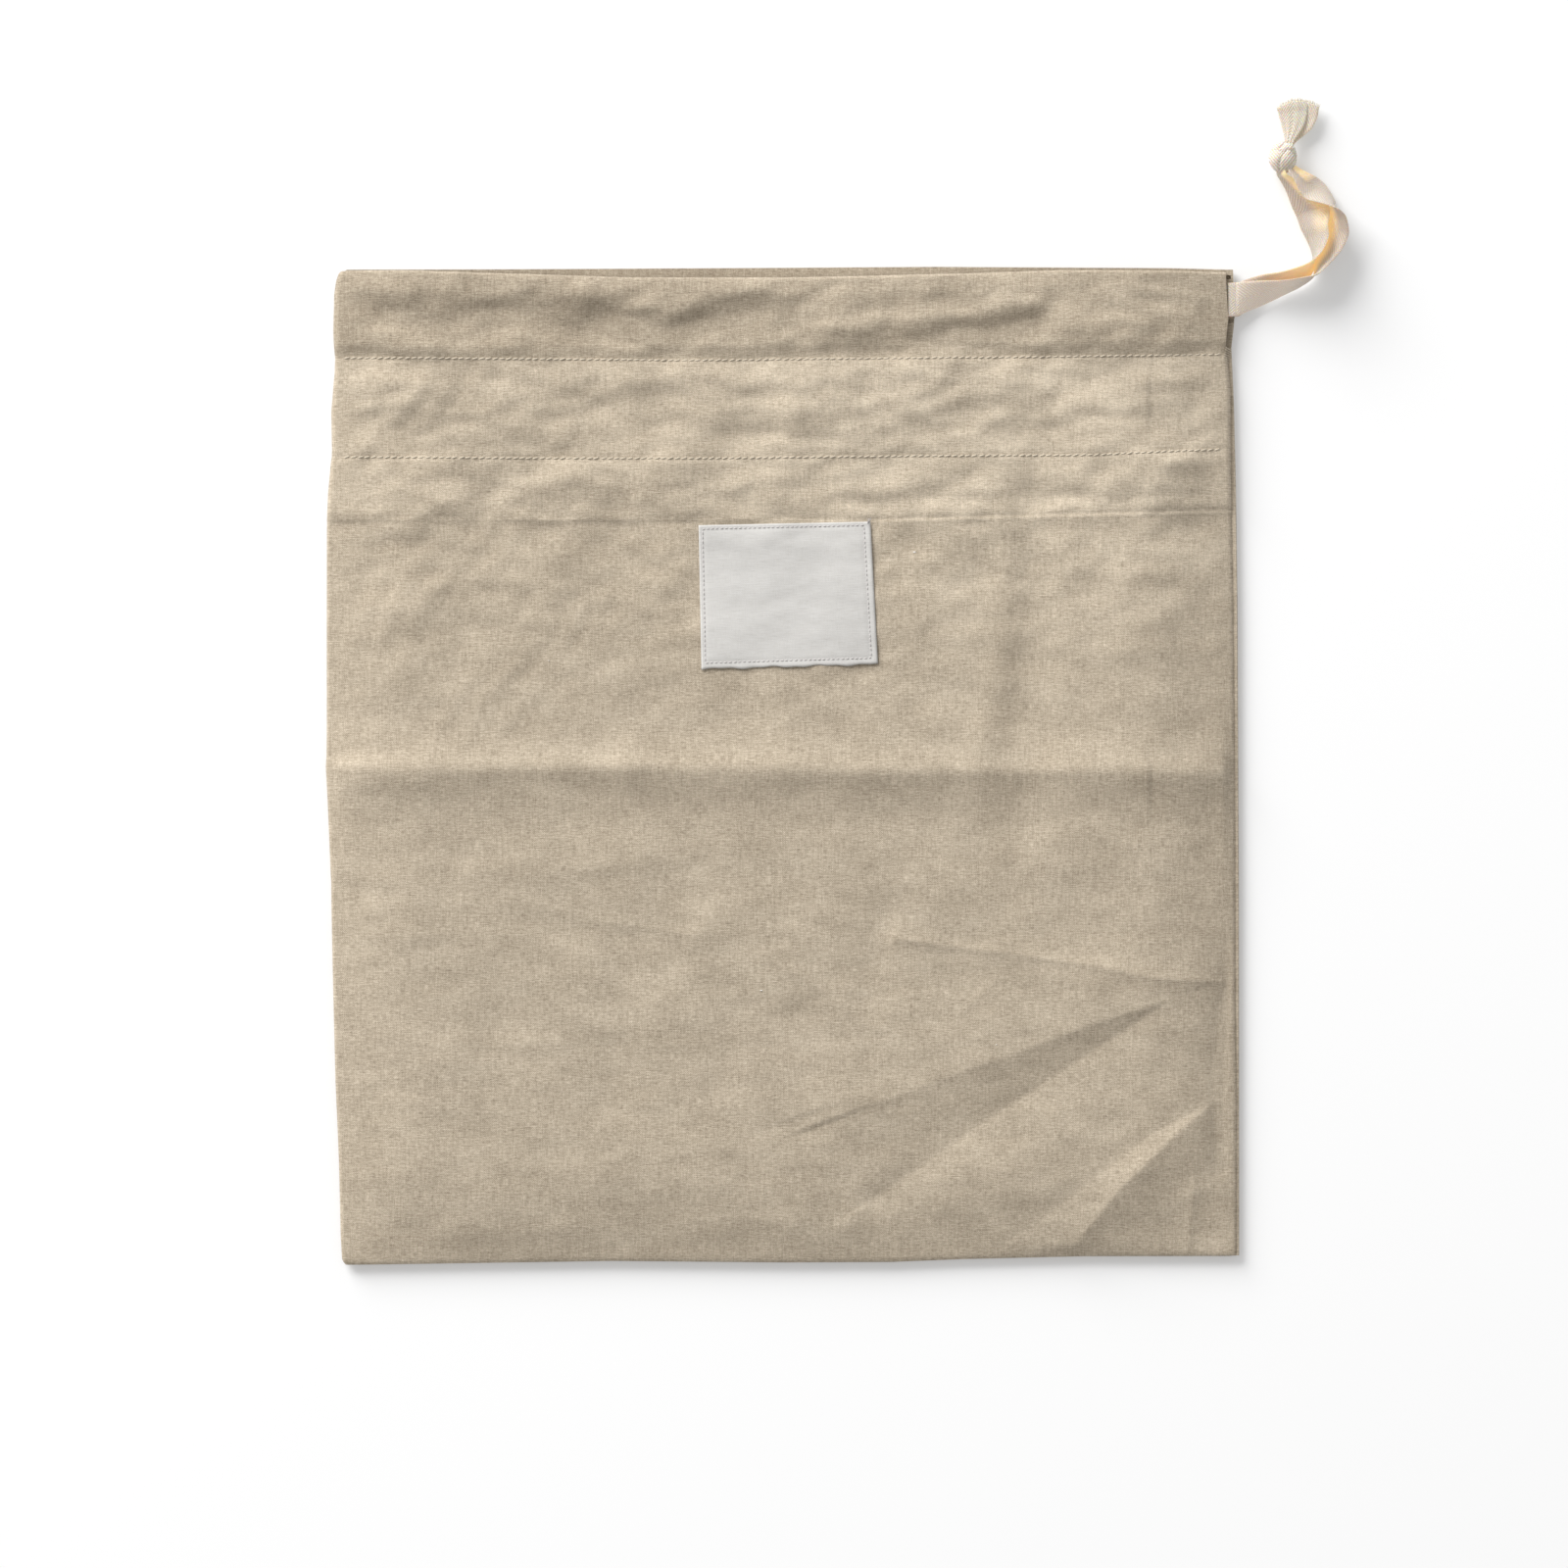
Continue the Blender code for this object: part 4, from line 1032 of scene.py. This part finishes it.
def colour_ramp(factor, stops):
    """Colour ramp over a value, with several stops of place and colour."""
    ramp = factor.tree.nodes.new("ShaderNodeValToRGB")
    elements = ramp.color_ramp.elements
    while len(elements) < len(stops):
        elements.new(0.5)
    for element, (place, colour) in zip(elements, stops):
        element.position = place
        element.color = (*colour, 1)
    feed(ramp, {"Fac": factor})
    return Value(factor.tree, ramp.outputs["Color"])


def mix_colour(factor, colour, other):
    """Mix of a worked-out colour with a plain one."""
    node = factor.tree.nodes.new("ShaderNodeMixRGB")
    feed(node, {"Fac": factor, "Color1": colour, "Color2": (*other, 1)})
    return Value(factor.tree, node.outputs["Color"])


def dress(shader, colour, height, depth, strength):
    """Gives a shader its colour and a bump, with the bump's depth in millimetres."""
    bump = height.tree.nodes.new("ShaderNodeBump")
    feed(bump, {"Height": height, "Distance": depth * MM, "Strength": strength})
    feed(shader, {"Base Color": colour, "Normal": Value(height.tree, bump.outputs["Normal"])})


def share_past(value, start, run):
    """0 up to a start, then rising to 1 over a run."""
    return ((value - start) / run).join("MAXIMUM", 0.0).join("MINIMUM", 1.0)


def linen_material(weave):
    """Heathered beige linen: uneven yarns of three shades, with faint cloudy patches; painted light and shade
    in bands up the bag, and painted light at the upper right.
    """
    material, shader = material_base("heathered_linen", 0.92, 0.12)
    across, up = object_millimetres(material)
    tint, height = use_group(weave, {"Across": across, "Up": up, **LINEN_YARN})
    patch = noise_value((across / PATCH[0], up / PATCH[1], 3.0), 3.0, 0.6)
    tint = tint + (patch - 0.5) * PATCH_TINT
    for long_way, short_way in (STREAK, STREAK[::-1]):
        streak = noise_value((across / long_way, up / short_way, 7.0))
        tint = tint + (streak - 0.5) * STREAK_TINT
    # Painted light from just below the hem up, and painted shade over the band
    for start, run, change in PAINTED_TINTS_UP_BAG:
        tint = tint + share_past(up, start, run) * change
    # Painted light at the upper right
    tint = tint + share_past(across, *PAINTED_LIGHT_ACROSS) * share_past(up, *PAINTED_LIGHT_UP) * PAINTED_LIGHT_TINT
    dress(shader, colour_ramp(tint, LINEN_SHADES), height, 0.16, 0.7)
    return material


def label_material(weave):
    """Off-white patch with a fine weave, a little uneven in tone."""
    material, shader = material_base("label_weave", 0.85, 0.1)
    across, up = object_millimetres(material)
    tint, height = use_group(weave, {"Across": across, "Up": up, **LABEL_YARN})
    dress(shader, colour_ramp(tint, LABEL_SHADES), height, 0.06, 0.6)
    return material


def cotton_material(name, herringbone, shade=0.59, painted_glow=(0.15, 0.125, 0.10), in_channel=False):
    """Cream cotton tape with a herringbone weave; light passes a little way into it. Outside the channel it
    has a painted glow and is tinted orange with painted shade, both from its stored place.
    """
    material, shader = material_base(name, 0.85, 0.15)
    if in_channel:
        along, up = object_millimetres(material)
        across = up - TAPE_AXIS
    else:
        stored = material.node_tree.nodes.new("ShaderNodeAttribute")
        stored.attribute_name = "tape_place"
        along, across, painted_shading = split_vector(material.node_tree, stored.outputs["Vector"])
    tint, height = use_group(herringbone, {"Along": along, "Across": across})
    shades = [(place, tuple(shade * part for part in shown)) for place, shown in COTTON_SHADES]
    colour = colour_ramp(tint, shades)
    if not in_channel:
        # Painted glow: orange in the tape's turns, whitish on faces lifted with painted light, plain
        # elsewhere; then orange painted shade mixed into its colour
        glow = colour_ramp(painted_shading * 0.5 + 0.5, [(0, PAINTED_PALE_GLOW), (0.5, painted_glow), (1, PAINTED_ORANGE_GLOW)])
        feed(shader, {"Emission Color": glow, "Emission Strength": 1})
        colour = mix_colour(painted_shading.join("MAXIMUM", 0.0), colour, PAINTED_SHADE_ORANGE)
    feed(shader, {"Subsurface Weight": 0.6, "Subsurface Radius": (2.2, 1.0, 0.3),
                  "Subsurface Scale": 1 * MM})
    dress(shader, colour, height, 0.2, 0.8)
    return material


def thread_material(name, thread, dark, light, ply):
    """Sewing thread or frayed yarn."""
    material, shader = material_base(name, 0.8, 0.2)
    across, up = object_millimetres(material)
    tint, height = use_group(thread, {"Across": across, "Up": up, "Ply": ply})
    dress(shader, colour_ramp(tint, [(0.2, dark), (0.8, light)]), height, 0.04, 0.6)
    return material


# Thread and stitches


def tube(points, faces, line, radii, sides=6):
    """Adds a round tube along a line of points to lists of points and faces."""
    first = len(points)
    line = [Vector(point) for point in line]
    for k, point in enumerate(line):
        ahead = line[min(k + 1, len(line) - 1)] - line[max(k - 1, 0)]
        across = ahead.cross(Vector((0.13, 0.07, 1))).normalized()
        over = across.cross(ahead).normalized()
        for s in range(sides):
            angle = 2 * math.pi * s / sides
            spot = point + (across * math.cos(angle) + over * math.sin(angle)) * radii[k]
            points.append(tuple(spot))
    for k in range(len(line) - 1):
        for s in range(sides):
            a, b = first + k * sides + s, first + k * sides + (s + 1) % sides
            faces.append((a, b, b + sides, a + sides))
    faces.append([first + s for s in range(sides)])
    faces.append([first + (len(line) - 1) * sides + s for s in range(sides)][::-1])


def stitch(points, faces, start, end, sink, rise, radius=THREAD_RADIUS):
    """One stitch between two points on the cloth: both ends dip in and the middle stands proud."""
    start, end = Vector(start), Vector(end)
    line, radii = [], []
    for t in STITCH_SHARES:
        lift = -sink + (sink + rise) * math.sin(math.pi * t) ** 0.5 if 0 < t < 1 else -sink
        line.append(start.lerp(end, t) + Vector((0, 0, lift)))
        radii.append(radius * (STITCH_END if t in (0.0, 1.0) else 1.0))
    tube(points, faces, line, radii)


def stitch_line(points, faces, route, height, pitch, fill=0.78, slant=0.22, rise=0.3,
                radius=THREAD_RADIUS, seed=1):
    """Stitches along a route of places, at a pitch, each a little aslant."""
    chance = random.Random(seed)
    spots = [Vector(place) for place in route]
    lengths = [(b - a).length for a, b in zip(spots[:-1], spots[1:])]
    total = sum(lengths)

    def at(distance):
        for a, b, length in zip(spots[:-1], spots[1:], lengths):
            if distance <= length:
                return a.lerp(b, distance / length), (b - a).normalized()
            distance -= length
        return spots[-1], (spots[-1] - spots[-2]).normalized()

    count = int(total / pitch)
    for k in range(count):
        begin = k * pitch + chance.uniform(-0.08, 0.08) * pitch
        a, heading = at(max(begin, 0))
        b, _ = at(min(begin + pitch * fill, total))
        off = Vector((-heading.y, heading.x)) * slant * (1 + chance.uniform(-0.5, 0.5))
        a, b = a - off, b + off
        stitch(points, faces, (a.x, a.y, height(a.x, a.y)), (b.x, b.y, height(b.x, b.y)),
               STITCH_SINK, rise * chance.uniform(0.6, 1.3), radius)


def cloth_top(x, y):
    """Height of the front at one place."""
    return float(cloth_height(np.array([x]), np.array([y]))[0])


def label_face(x, y):
    """Height of the label at one place."""
    return float(label_top(np.array([x]), np.array([y]))[0])


def label_route():
    """Line of the label's stitching, inset from its edges."""
    low_left, low_right, high_right, high_left = [Vector(corner) for corner in LABEL_CORNERS]
    inset = LABEL_INSET
    corners = [low_left + Vector((inset["left"], inset["bottom"])),
               low_right + Vector((-inset["right"], inset["bottom"])),
               high_right + Vector((-inset["right"], -inset["top"])),
               high_left + Vector((inset["left"], -inset["top"]))]
    return corners + corners[:1]


def label_top(x, y):
    """Height of the label's face: over the cloth, pulled down along its stitching."""
    flat = front(x, y) + LABEL_FINE_SHARE * fine(x, y) + LABEL_LIFT + LABEL_THICKNESS
    pulled = LABEL_PULL["depth"] * np.exp(-(line_distance(label_route(), x, y) / LABEL_PULL["width"]) ** 2)
    crease_x, crease_y = LABEL_CREASE["middle"]
    crease = LABEL_CREASE["depth"] * np.exp(-np.abs(x - crease_x) / LABEL_CREASE["across"]
                                            - ((y - crease_y) / LABEL_CREASE["up"]) ** 2)
    near = np.exp(-((y - LABEL_RIPPLE["middle"]) / LABEL_RIPPLE["up"]) ** 2)
    ripple = LABEL_RIPPLE["height"] * np.sin(y / LABEL_RIPPLE["length"] + 0.8 * np.sin(x / 17)) * near
    return flat - pulled - crease + ripple


def make_label(material):
    """Woven patch: thin sheet with slightly wavy edges, lower along its stitching."""
    u, v = np.meshgrid(np.linspace(0, 1, LABEL_COLUMNS), np.linspace(0, 1, LABEL_ROWS))
    shares = ((1 - u) * (1 - v), u * (1 - v), u * v, (1 - u) * v)
    x, y = (sum(share * corner[k] for share, corner in zip(shares, LABEL_CORNERS)) for k in range(2))
    low_edge = np.exp(-v / LOW_EDGE["share"]) * sum(height * np.sin(x / length + start)
                                                    for height, length, start in LOW_EDGE_WAVES)
    y = y - LOW_EDGE["sway"] * low_edge
    rim = np.minimum(np.minimum(u, 1 - u) * LABEL_SIZE[0], np.minimum(v, 1 - v) * LABEL_SIZE[1])
    thinner = LABEL_RIM["depth"] * np.exp(-rim / LABEL_RIM["width"])
    top = label_top(x, y) + LOW_EDGE["lift"] * low_edge - thinner
    under = top - LABEL_THICKNESS + thinner
    label = slab("label_patch", np.dstack([x, y, top]), np.dstack([x, y, under]))
    label.data.materials.append(material)
    return label


def make_stitches(name, material, routes, height, pitch, **style):
    """One piece with all the stitches of some routes."""
    points, faces = [], []
    for k, route in enumerate(routes):
        stitch_line(points, faces, route, height, pitch, seed=k + 7, **style)
    piece = add_mesh(name, points, faces)
    piece.data.materials.append(material)
    return piece


# Tape


def smooth_rows(rows, steps):
    """Reads a Catmull-Rom curve through the rows of a table."""
    data = np.array(rows, float)
    padded = np.vstack([2 * data[0] - data[1], data, 2 * data[-1] - data[-2]])
    result = []
    for k in range(1, len(padded) - 2):
        p0, p1, p2, p3 = padded[k - 1:k + 3]
        for step in range(steps):
            t = step / steps
            result.append(0.5 * (2 * p1 + (p2 - p0) * t + (2 * p0 - 5 * p1 + 4 * p2 - p3) * t ** 2
                                 + (3 * p1 - p0 - 3 * p2 + p3) * t ** 3))
    return result + [data[-1]]


def tape_section(row):
    """Middle, half-width vector and hollow of a tape section."""
    foot_x, foot_y, head_x, head_y, foot_z, width, hollow = row
    flat = math.hypot(head_x - foot_x, head_y - foot_y)
    rise = math.sqrt(max(width ** 2 - flat ** 2, 0))
    foot = Vector((foot_x, foot_y, foot_z))
    head = Vector((head_x, head_y, foot_z + rise))
    return (foot + head) / 2, (head - foot).normalized() * width / 2, hollow


def upper_painted_shading(row, s, on_top):
    """Painted shading of the upper tape: orange painted shade inside its bend and beside the knot; below 0 it
    is painted light, near the slit and on the way to the knot.
    """
    if on_top:
        painted_light = max(1 - ease((row - 3.5) / 2.5), 0.75 * ease((row - 13.5) / 1.5))
        painted_shade_wedge = ease((row - 16.0) / 2.2) * ease((0.7 - s) / 0.8)
        return painted_shade_wedge - painted_light * (1 - painted_shade_wedge)
    return ease((row - 5) / 1.5) * ease((15 - row) / 1.5) * (1 - ease((s + 0.35) / 0.8))


def lower_painted_shading(row, s, on_top):
    """Orange painted shade on the lower tape: behind the upper one, and where its panel turns under it."""
    if on_top:
        return ease((row - 1.5) / 4)
    return ease((row - 8.5) / 4) * ease((s + 0.25) / 0.8)


def store_tape_places(piece, places):
    """Gives each point its place along and across the tape, and its painted shading."""
    store = piece.data.attributes.new("tape_place", "FLOAT_VECTOR", "POINT")
    store.data.foreach_set("vector", np.array(places, float).ravel())


def ribbon(name, sections, rows, groove, paint_shading, fan):
    """Closed ribbon through sections, with rounded edges and its place along and across; the third number of
    the place is its painted shading, orange painted shade above 0 and painted light below, from a function of
    the table's row."""
    upper, lower, places, under_places = [], [], [], []
    run = 0.0
    shares = np.linspace(-1, 1, TAPE_ACROSS + 1)
    for k, (middle, across, hollow) in enumerate(sections):
        before = sections[max(k - 1, 0)][0]
        after = sections[min(k + 1, len(sections) - 1)][0]
        run += (middle - before).length
        normal = (after - before).cross(across).normalized()
        longer = (after - before).normalized() * fan * (k / (len(sections) - 1)) ** 3
        half_width = across.length
        top_row, under_row = [], []
        for s in shares:
            shape = hollow * (1 - s * s)
            if groove:
                shape += groove(k / (len(sections) - 1), s)
            thick = TAPE_THICKNESS / 2
            if abs(s) == 1:
                thick *= TAPE_EDGE["last"]
            elif abs(s) > TAPE_EDGE["from"]:
                thick += TAPE_EDGE["thicker"]
            wave = TAPE_WAVE["height"] * math.sin(run / TAPE_WAVE["length"] + 2 * s) * s * s
            point = middle + across * s - normal * (shape + wave) + longer * (1 - s * s)
            top_row.append(point + normal * thick)
            under_row.append(point - normal * thick)
            row = k / (len(sections) - 1) * (rows - 1)
            painted_shading = [paint_shading(row, s, on_top) if paint_shading else 0 for on_top in (True, False)]
            places.append((run, s * half_width, painted_shading[0]))
            under_places.append((run, s * half_width, painted_shading[1]))
        upper.append(top_row)
        lower.append(under_row)
    piece = slab(name, np.array(upper), np.array(lower))
    store_tape_places(piece, places + under_places)
    return piece


def tape_path(sections):
    """Line along the middle of a tape, in metres."""
    return [tuple(middle * MM) for middle, _, _ in sections]


def make_tape(name, table, material, groove=None, paint_shading=None, fan=0):
    """Free stretch of the tape through the sections of a table, and its middle line."""
    sections = [tape_section(row) for row in smooth_rows(table, TAPE_STEPS)]
    piece = ribbon(name, sections, len(table), groove, paint_shading, fan)
    piece.data.materials.append(material)
    return piece, tape_path(sections)


def tail_groove(t, s):
    """Lengthwise grooves of a tail that fan out from the knot."""
    depth = TAIL_GROOVE_DEPTH[0] + (TAIL_GROOVE_DEPTH[1] - TAIL_GROOVE_DEPTH[0]) * t
    width = TAIL_GROOVE_WIDTH[0] + (TAIL_GROOVE_WIDTH[1] - TAIL_GROOVE_WIDTH[0]) * t
    return depth * sum(math.exp(-((s - place) / width) ** 2) for place in TAIL_GROOVES)


def tail_painted_shading(row, s, on_top):
    """Orange painted shade on a tail: a little, in its grooves."""
    return TAIL_PAINTED_SHADE * tail_groove(row / (len(UPPER_TAIL) - 1), s) if on_top else 0


def knot_swell(x, y):
    """How far the knot's upper side stands out at a place seen from above its middle."""
    swells = sum(height * np.exp(-((x - cx) ** 2 + (y - cy) ** 2) / reach ** 2)
                 for cx, cy, height, reach in KNOT_LOBES)
    cuts = [depth * np.exp(-(line_distance(line, x, y) / width) ** 2) for line, depth, width in KNOT_CREASES]
    return swells - np.max(cuts, axis=0)


def make_knot(material):
    """Knot of both tapes: a lobed ball with creases where one turn lies over another."""
    work = bmesh.new()
    bmesh.ops.create_icosphere(work, subdivisions=6, radius=1)
    out = np.array([vert.co.normalized() for vert in work.verts])
    faces = [[vert.index for vert in face.verts] for face in work.faces]
    work.free()
    x, y = KNOT_HALF[0] * out[:, 0], KNOT_HALF[1] * out[:, 1]
    swollen = knot_swell(x, y) * ease((out[:, 2] - KNOT_SWELL_START) / KNOT_SWELL_RUN)
    points = KNOT_MIDDLE + (np.array(KNOT_HALF) + swollen[:, None]) * out
    points[:, 2] = np.maximum(points[:, 2], FLOOR_CLEAR)
    knot = add_mesh("tape_knot_cloth", points, faces)
    store_tape_places(knot, np.column_stack([-y, x - KNOT_TWILL_LEAN, np.zeros(len(x))]))
    knot.data.materials.append(material)
    return knot


def make_fringe(name, table, material, count, seed):
    """Frayed yarns at the cut end of a tail."""
    chance = random.Random(seed)
    (before, _, _), (middle, across, _) = [tape_section(row) for row in table[-2:]]
    ahead = (middle - before).normalized()
    inset = FRINGE["inset"]
    points, faces = [], []
    for k in range(count):
        s = -0.96 + 1.92 * (k + chance.uniform(-0.3, 0.3)) / (count - 1)
        start = middle + across * s + ahead * (TAIL_FAN * (1 - s * s) - inset)
        start += Vector((0, 0, chance.uniform(-0.15, 0.15)))
        length = FRINGE["length"] * (FRINGE["middle"] - FRINGE["side"] * s * s) * chance.uniform(0.6, 1.2)
        bend = Vector((chance.uniform(-0.5, 0.5), chance.uniform(-0.2, 0.2), chance.uniform(-0.35, 0.3)))
        fan = across.normalized() * s * FRINGE["fan"]
        line = []
        for t, _ in FRINGE_RADII:
            spot = start + (ahead + fan) * (length + inset) * t + bend * (length * t * t)
            spot.z = max(spot.z, FLOOR_CLEAR)
            line.append(spot)
        tube(points, faces, line, [radius for _, radius in FRINGE_RADII], sides=5)
    piece = add_mesh(name, points, faces)
    piece.data.materials.append(material)
    return piece


# Small things on the cloth


def make_flecks(material):
    """White specks of lint on the front."""
    chance = random.Random(5)
    points, faces = [], []
    for x, y, size in LINT_PLACES:
        for _ in range(LINT_YARNS):
            heading = chance.uniform(0, 2 * math.pi)
            run = Vector((math.cos(heading), math.sin(heading) * 0.5, 0)) * size * 0.55
            middle = Vector((x, y, cloth_top(x, y) + 0.12))
            tube(points, faces, [middle - run, middle + Vector((0, 0, 0.08)), middle + run],
                 [0.06, 0.16, 0.06])
    piece = add_mesh("lint_flecks", points, faces)
    piece.data.materials.append(material)
    return piece


def make_bar_tack(material):
    """Close stitches across the end of the slit."""
    points, faces = [], []
    for k in range(BAR_TACK["count"]):
        y = BAR_TACK["y"] + BAR_TACK["pitch"] * k
        left = BAR_TACK["left"] + 0.25 * k
        right = BAR_TACK["right"] + 0.1 * k
        begin = (left, y + 0.5, cloth_top(BAR_TACK["left"] - 0.2, y) + 0.05)
        end = (right, y - 0.5, 1.6 + 0.25 * (k % 2))
        stitch(points, faces, begin, end, 0.1, 0.25, 0.2)
    piece = add_mesh("bar_tack", points, faces)
    piece.data.materials.append(material)
    return piece


def make_label_tuft(material):
    """Loose threads at the label's upper right corner."""
    chance = random.Random(11)
    points, faces = [], []
    inset = LABEL_TUFT["inset"]
    corner = Vector((*LABEL_TUFT["corner"], 0))
    corner.z = label_face(corner.x - 0.6, corner.y - inset)
    for _ in range(LABEL_TUFT["threads"]):
        end = corner + Vector((chance.uniform(-1.2, 0.5), chance.uniform(0.5, 1.9), chance.uniform(0.1, 0.5)))
        middle = corner.lerp(end, 0.5) + Vector((chance.uniform(-0.3, 0.3), 0, 0.2))
        start = corner + Vector((-inset, -inset, -0.1))
        tube(points, faces, [start, middle, end], [0.12, 0.1, 0.05], sides=5)
    piece = add_mesh("label_tuft", points, faces)
    piece.data.materials.append(material)
    return piece


# Studio


def add_camera():
    """Camera straight above the bag, far enough off to look almost flat."""
    data = bpy.data.cameras.new("camera")
    data.sensor_width = 36
    data.lens = data.sensor_width * CAMERA["place"][2] / CAMERA["view_width"]
    data.clip_end = 20
    camera = bpy.data.objects.new("camera", data)
    camera.location = CAMERA["place"]
    bpy.context.scene.collection.objects.link(camera)
    bpy.context.scene.camera = camera


def add_key_light():
    """Square light at the upper left, aimed at the middle of the bag."""
    data = bpy.data.lights.new("key_light", "AREA")
    data.shape = "SQUARE"
    data.size = KEY_LIGHT["size"]
    data.energy = KEY_LIGHT["power"]
    lamp = bpy.data.objects.new("key_light", data)
    lamp.location = KEY_LIGHT["place"]
    lamp.rotation_euler = (-Vector(KEY_LIGHT["place"])).to_track_quat("-Z", "Y").to_euler()
    bpy.context.scene.collection.objects.link(lamp)


def add_studio():
    """Pale floor, soft light from the upper left and an even fill."""
    points = [(x * FLOOR_HALF, y * FLOOR_HALF, -FLOOR_DROP) for x, y in ((-1, -1), (1, -1), (1, 1), (-1, 1))]
    floor = add_mesh("studio_floor", points, [(0, 1, 2, 3)], smooth=False)
    material, shader = material_base("studio_white", 0.9, 0.0)
    feed(shader, {"Base Color": (FLOOR_TONE, FLOOR_TONE, FLOOR_TONE, 1), "Emission Color": (1, 1, 1, 1),
                  "Emission Strength": FLOOR_GLOW})
    floor.data.materials.append(material)
    add_key_light()
    world = bpy.data.worlds.new("studio_world")
    world.use_nodes = True
    feed(world.node_tree.nodes["Background"], {"Color": (1, 1, 1, 1), "Strength": FILL_STRENGTH})
    bpy.context.scene.world = world
    bpy.context.scene.view_settings.view_transform = "Standard"


# The bag


add_camera()
add_studio()

weave = plain_weave_group()
herringbone = herringbone_group()
thread = twisted_thread_group()
linen = linen_material(weave)
label_white = label_material(weave)
cotton = cotton_material("cotton_tape", herringbone)
# The knot and the tails are lighter copies of the tape's cotton: painted light, with a painted glow of their
# own
knot_cotton_painted_light = cotton_material("cotton_tape_knot", herringbone, shade=1.05, painted_glow=(0.05, 0.045, 0.04))
tail_cotton_painted_light = cotton_material("cotton_tape_tails", herringbone, shade=0.74, painted_glow=(0.15, 0.155, 0.12))
channel_cotton = cotton_material("cotton_tape_in_channel", herringbone, in_channel=True)
hem_thread = thread_material("hem_thread", thread, *HEM_THREAD)
label_thread = thread_material("label_thread", thread, *LABEL_THREAD)
frayed_yarn = thread_material("frayed_yarn", thread, *FRAYED_YARN)
lint = thread_material("lint", thread, *LINT)

bag = closed_on_table("bag_cloth", outer_skin())
slit_holes = [slit_hole_cutter(number, hole) for number, hole in enumerate(SLIT_HOLES)]
cut_and_apply(bag, [hollow_cutter(), channel_cutter(), *slit_holes])
bag.data.materials.clear()
bag.data.materials.append(linen)
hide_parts("bag_body")

label = make_label(label_white)
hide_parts("label")

hem_places = np.arange(-169, 169.1, 2)
row_routes = [[(x, side(table, x)) for x in hem_places] for table in (STITCH_LINE, LOWER_STITCH)]
hem_stitches = make_stitches("hem_stitches", hem_thread, row_routes, cloth_top, STITCH_PITCH)
label_stitches = make_stitches("label_stitches", label_thread, [label_route()], label_face, LABEL_PITCH,
                               fill=0.7, slant=0.08, rise=0.14, radius=0.19)
bar_tack = make_bar_tack(hem_thread)
flecks = make_flecks(lint)
tuft = make_label_tuft(label_thread)

upper_tape, upper_path = make_tape("drawstring_upper", UPPER_TAPE, cotton, paint_shading=upper_painted_shading)
lower_tape, lower_path = make_tape("drawstring_lower", LOWER_TAPE, cotton, paint_shading=lower_painted_shading)
upper_tail, _ = make_tape("tail_upper_cloth", UPPER_TAIL, tail_cotton_painted_light, tail_groove, tail_painted_shading, TAIL_FAN)
lower_tail, _ = make_tape("tail_lower_cloth", LOWER_TAIL, tail_cotton_painted_light, fan=TAIL_FAN)
knot = make_knot(knot_cotton_painted_light)
upper_fringe = make_fringe("upper_fringe", UPPER_TAIL, frayed_yarn, 46, 21)
lower_fringe = make_fringe("lower_fringe", LOWER_TAIL, frayed_yarn, 36, 22)
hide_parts("tape_upper")
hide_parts("tape_lower")
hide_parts("tail_upper")
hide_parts("tail_lower")
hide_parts("tape_knot")
knot_pieces = [knot, upper_tail, lower_tail, upper_fringe, lower_fringe]

hidden_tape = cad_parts["tape_in_channel"]
hidden_tape.data.materials.clear()
hidden_tape.data.materials.append(channel_cotton)

for piece in (bag, label, hem_stitches, label_stitches, bar_tack, flecks, tuft, upper_tape, lower_tape,
              *knot_pieces):
    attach(piece, "root")
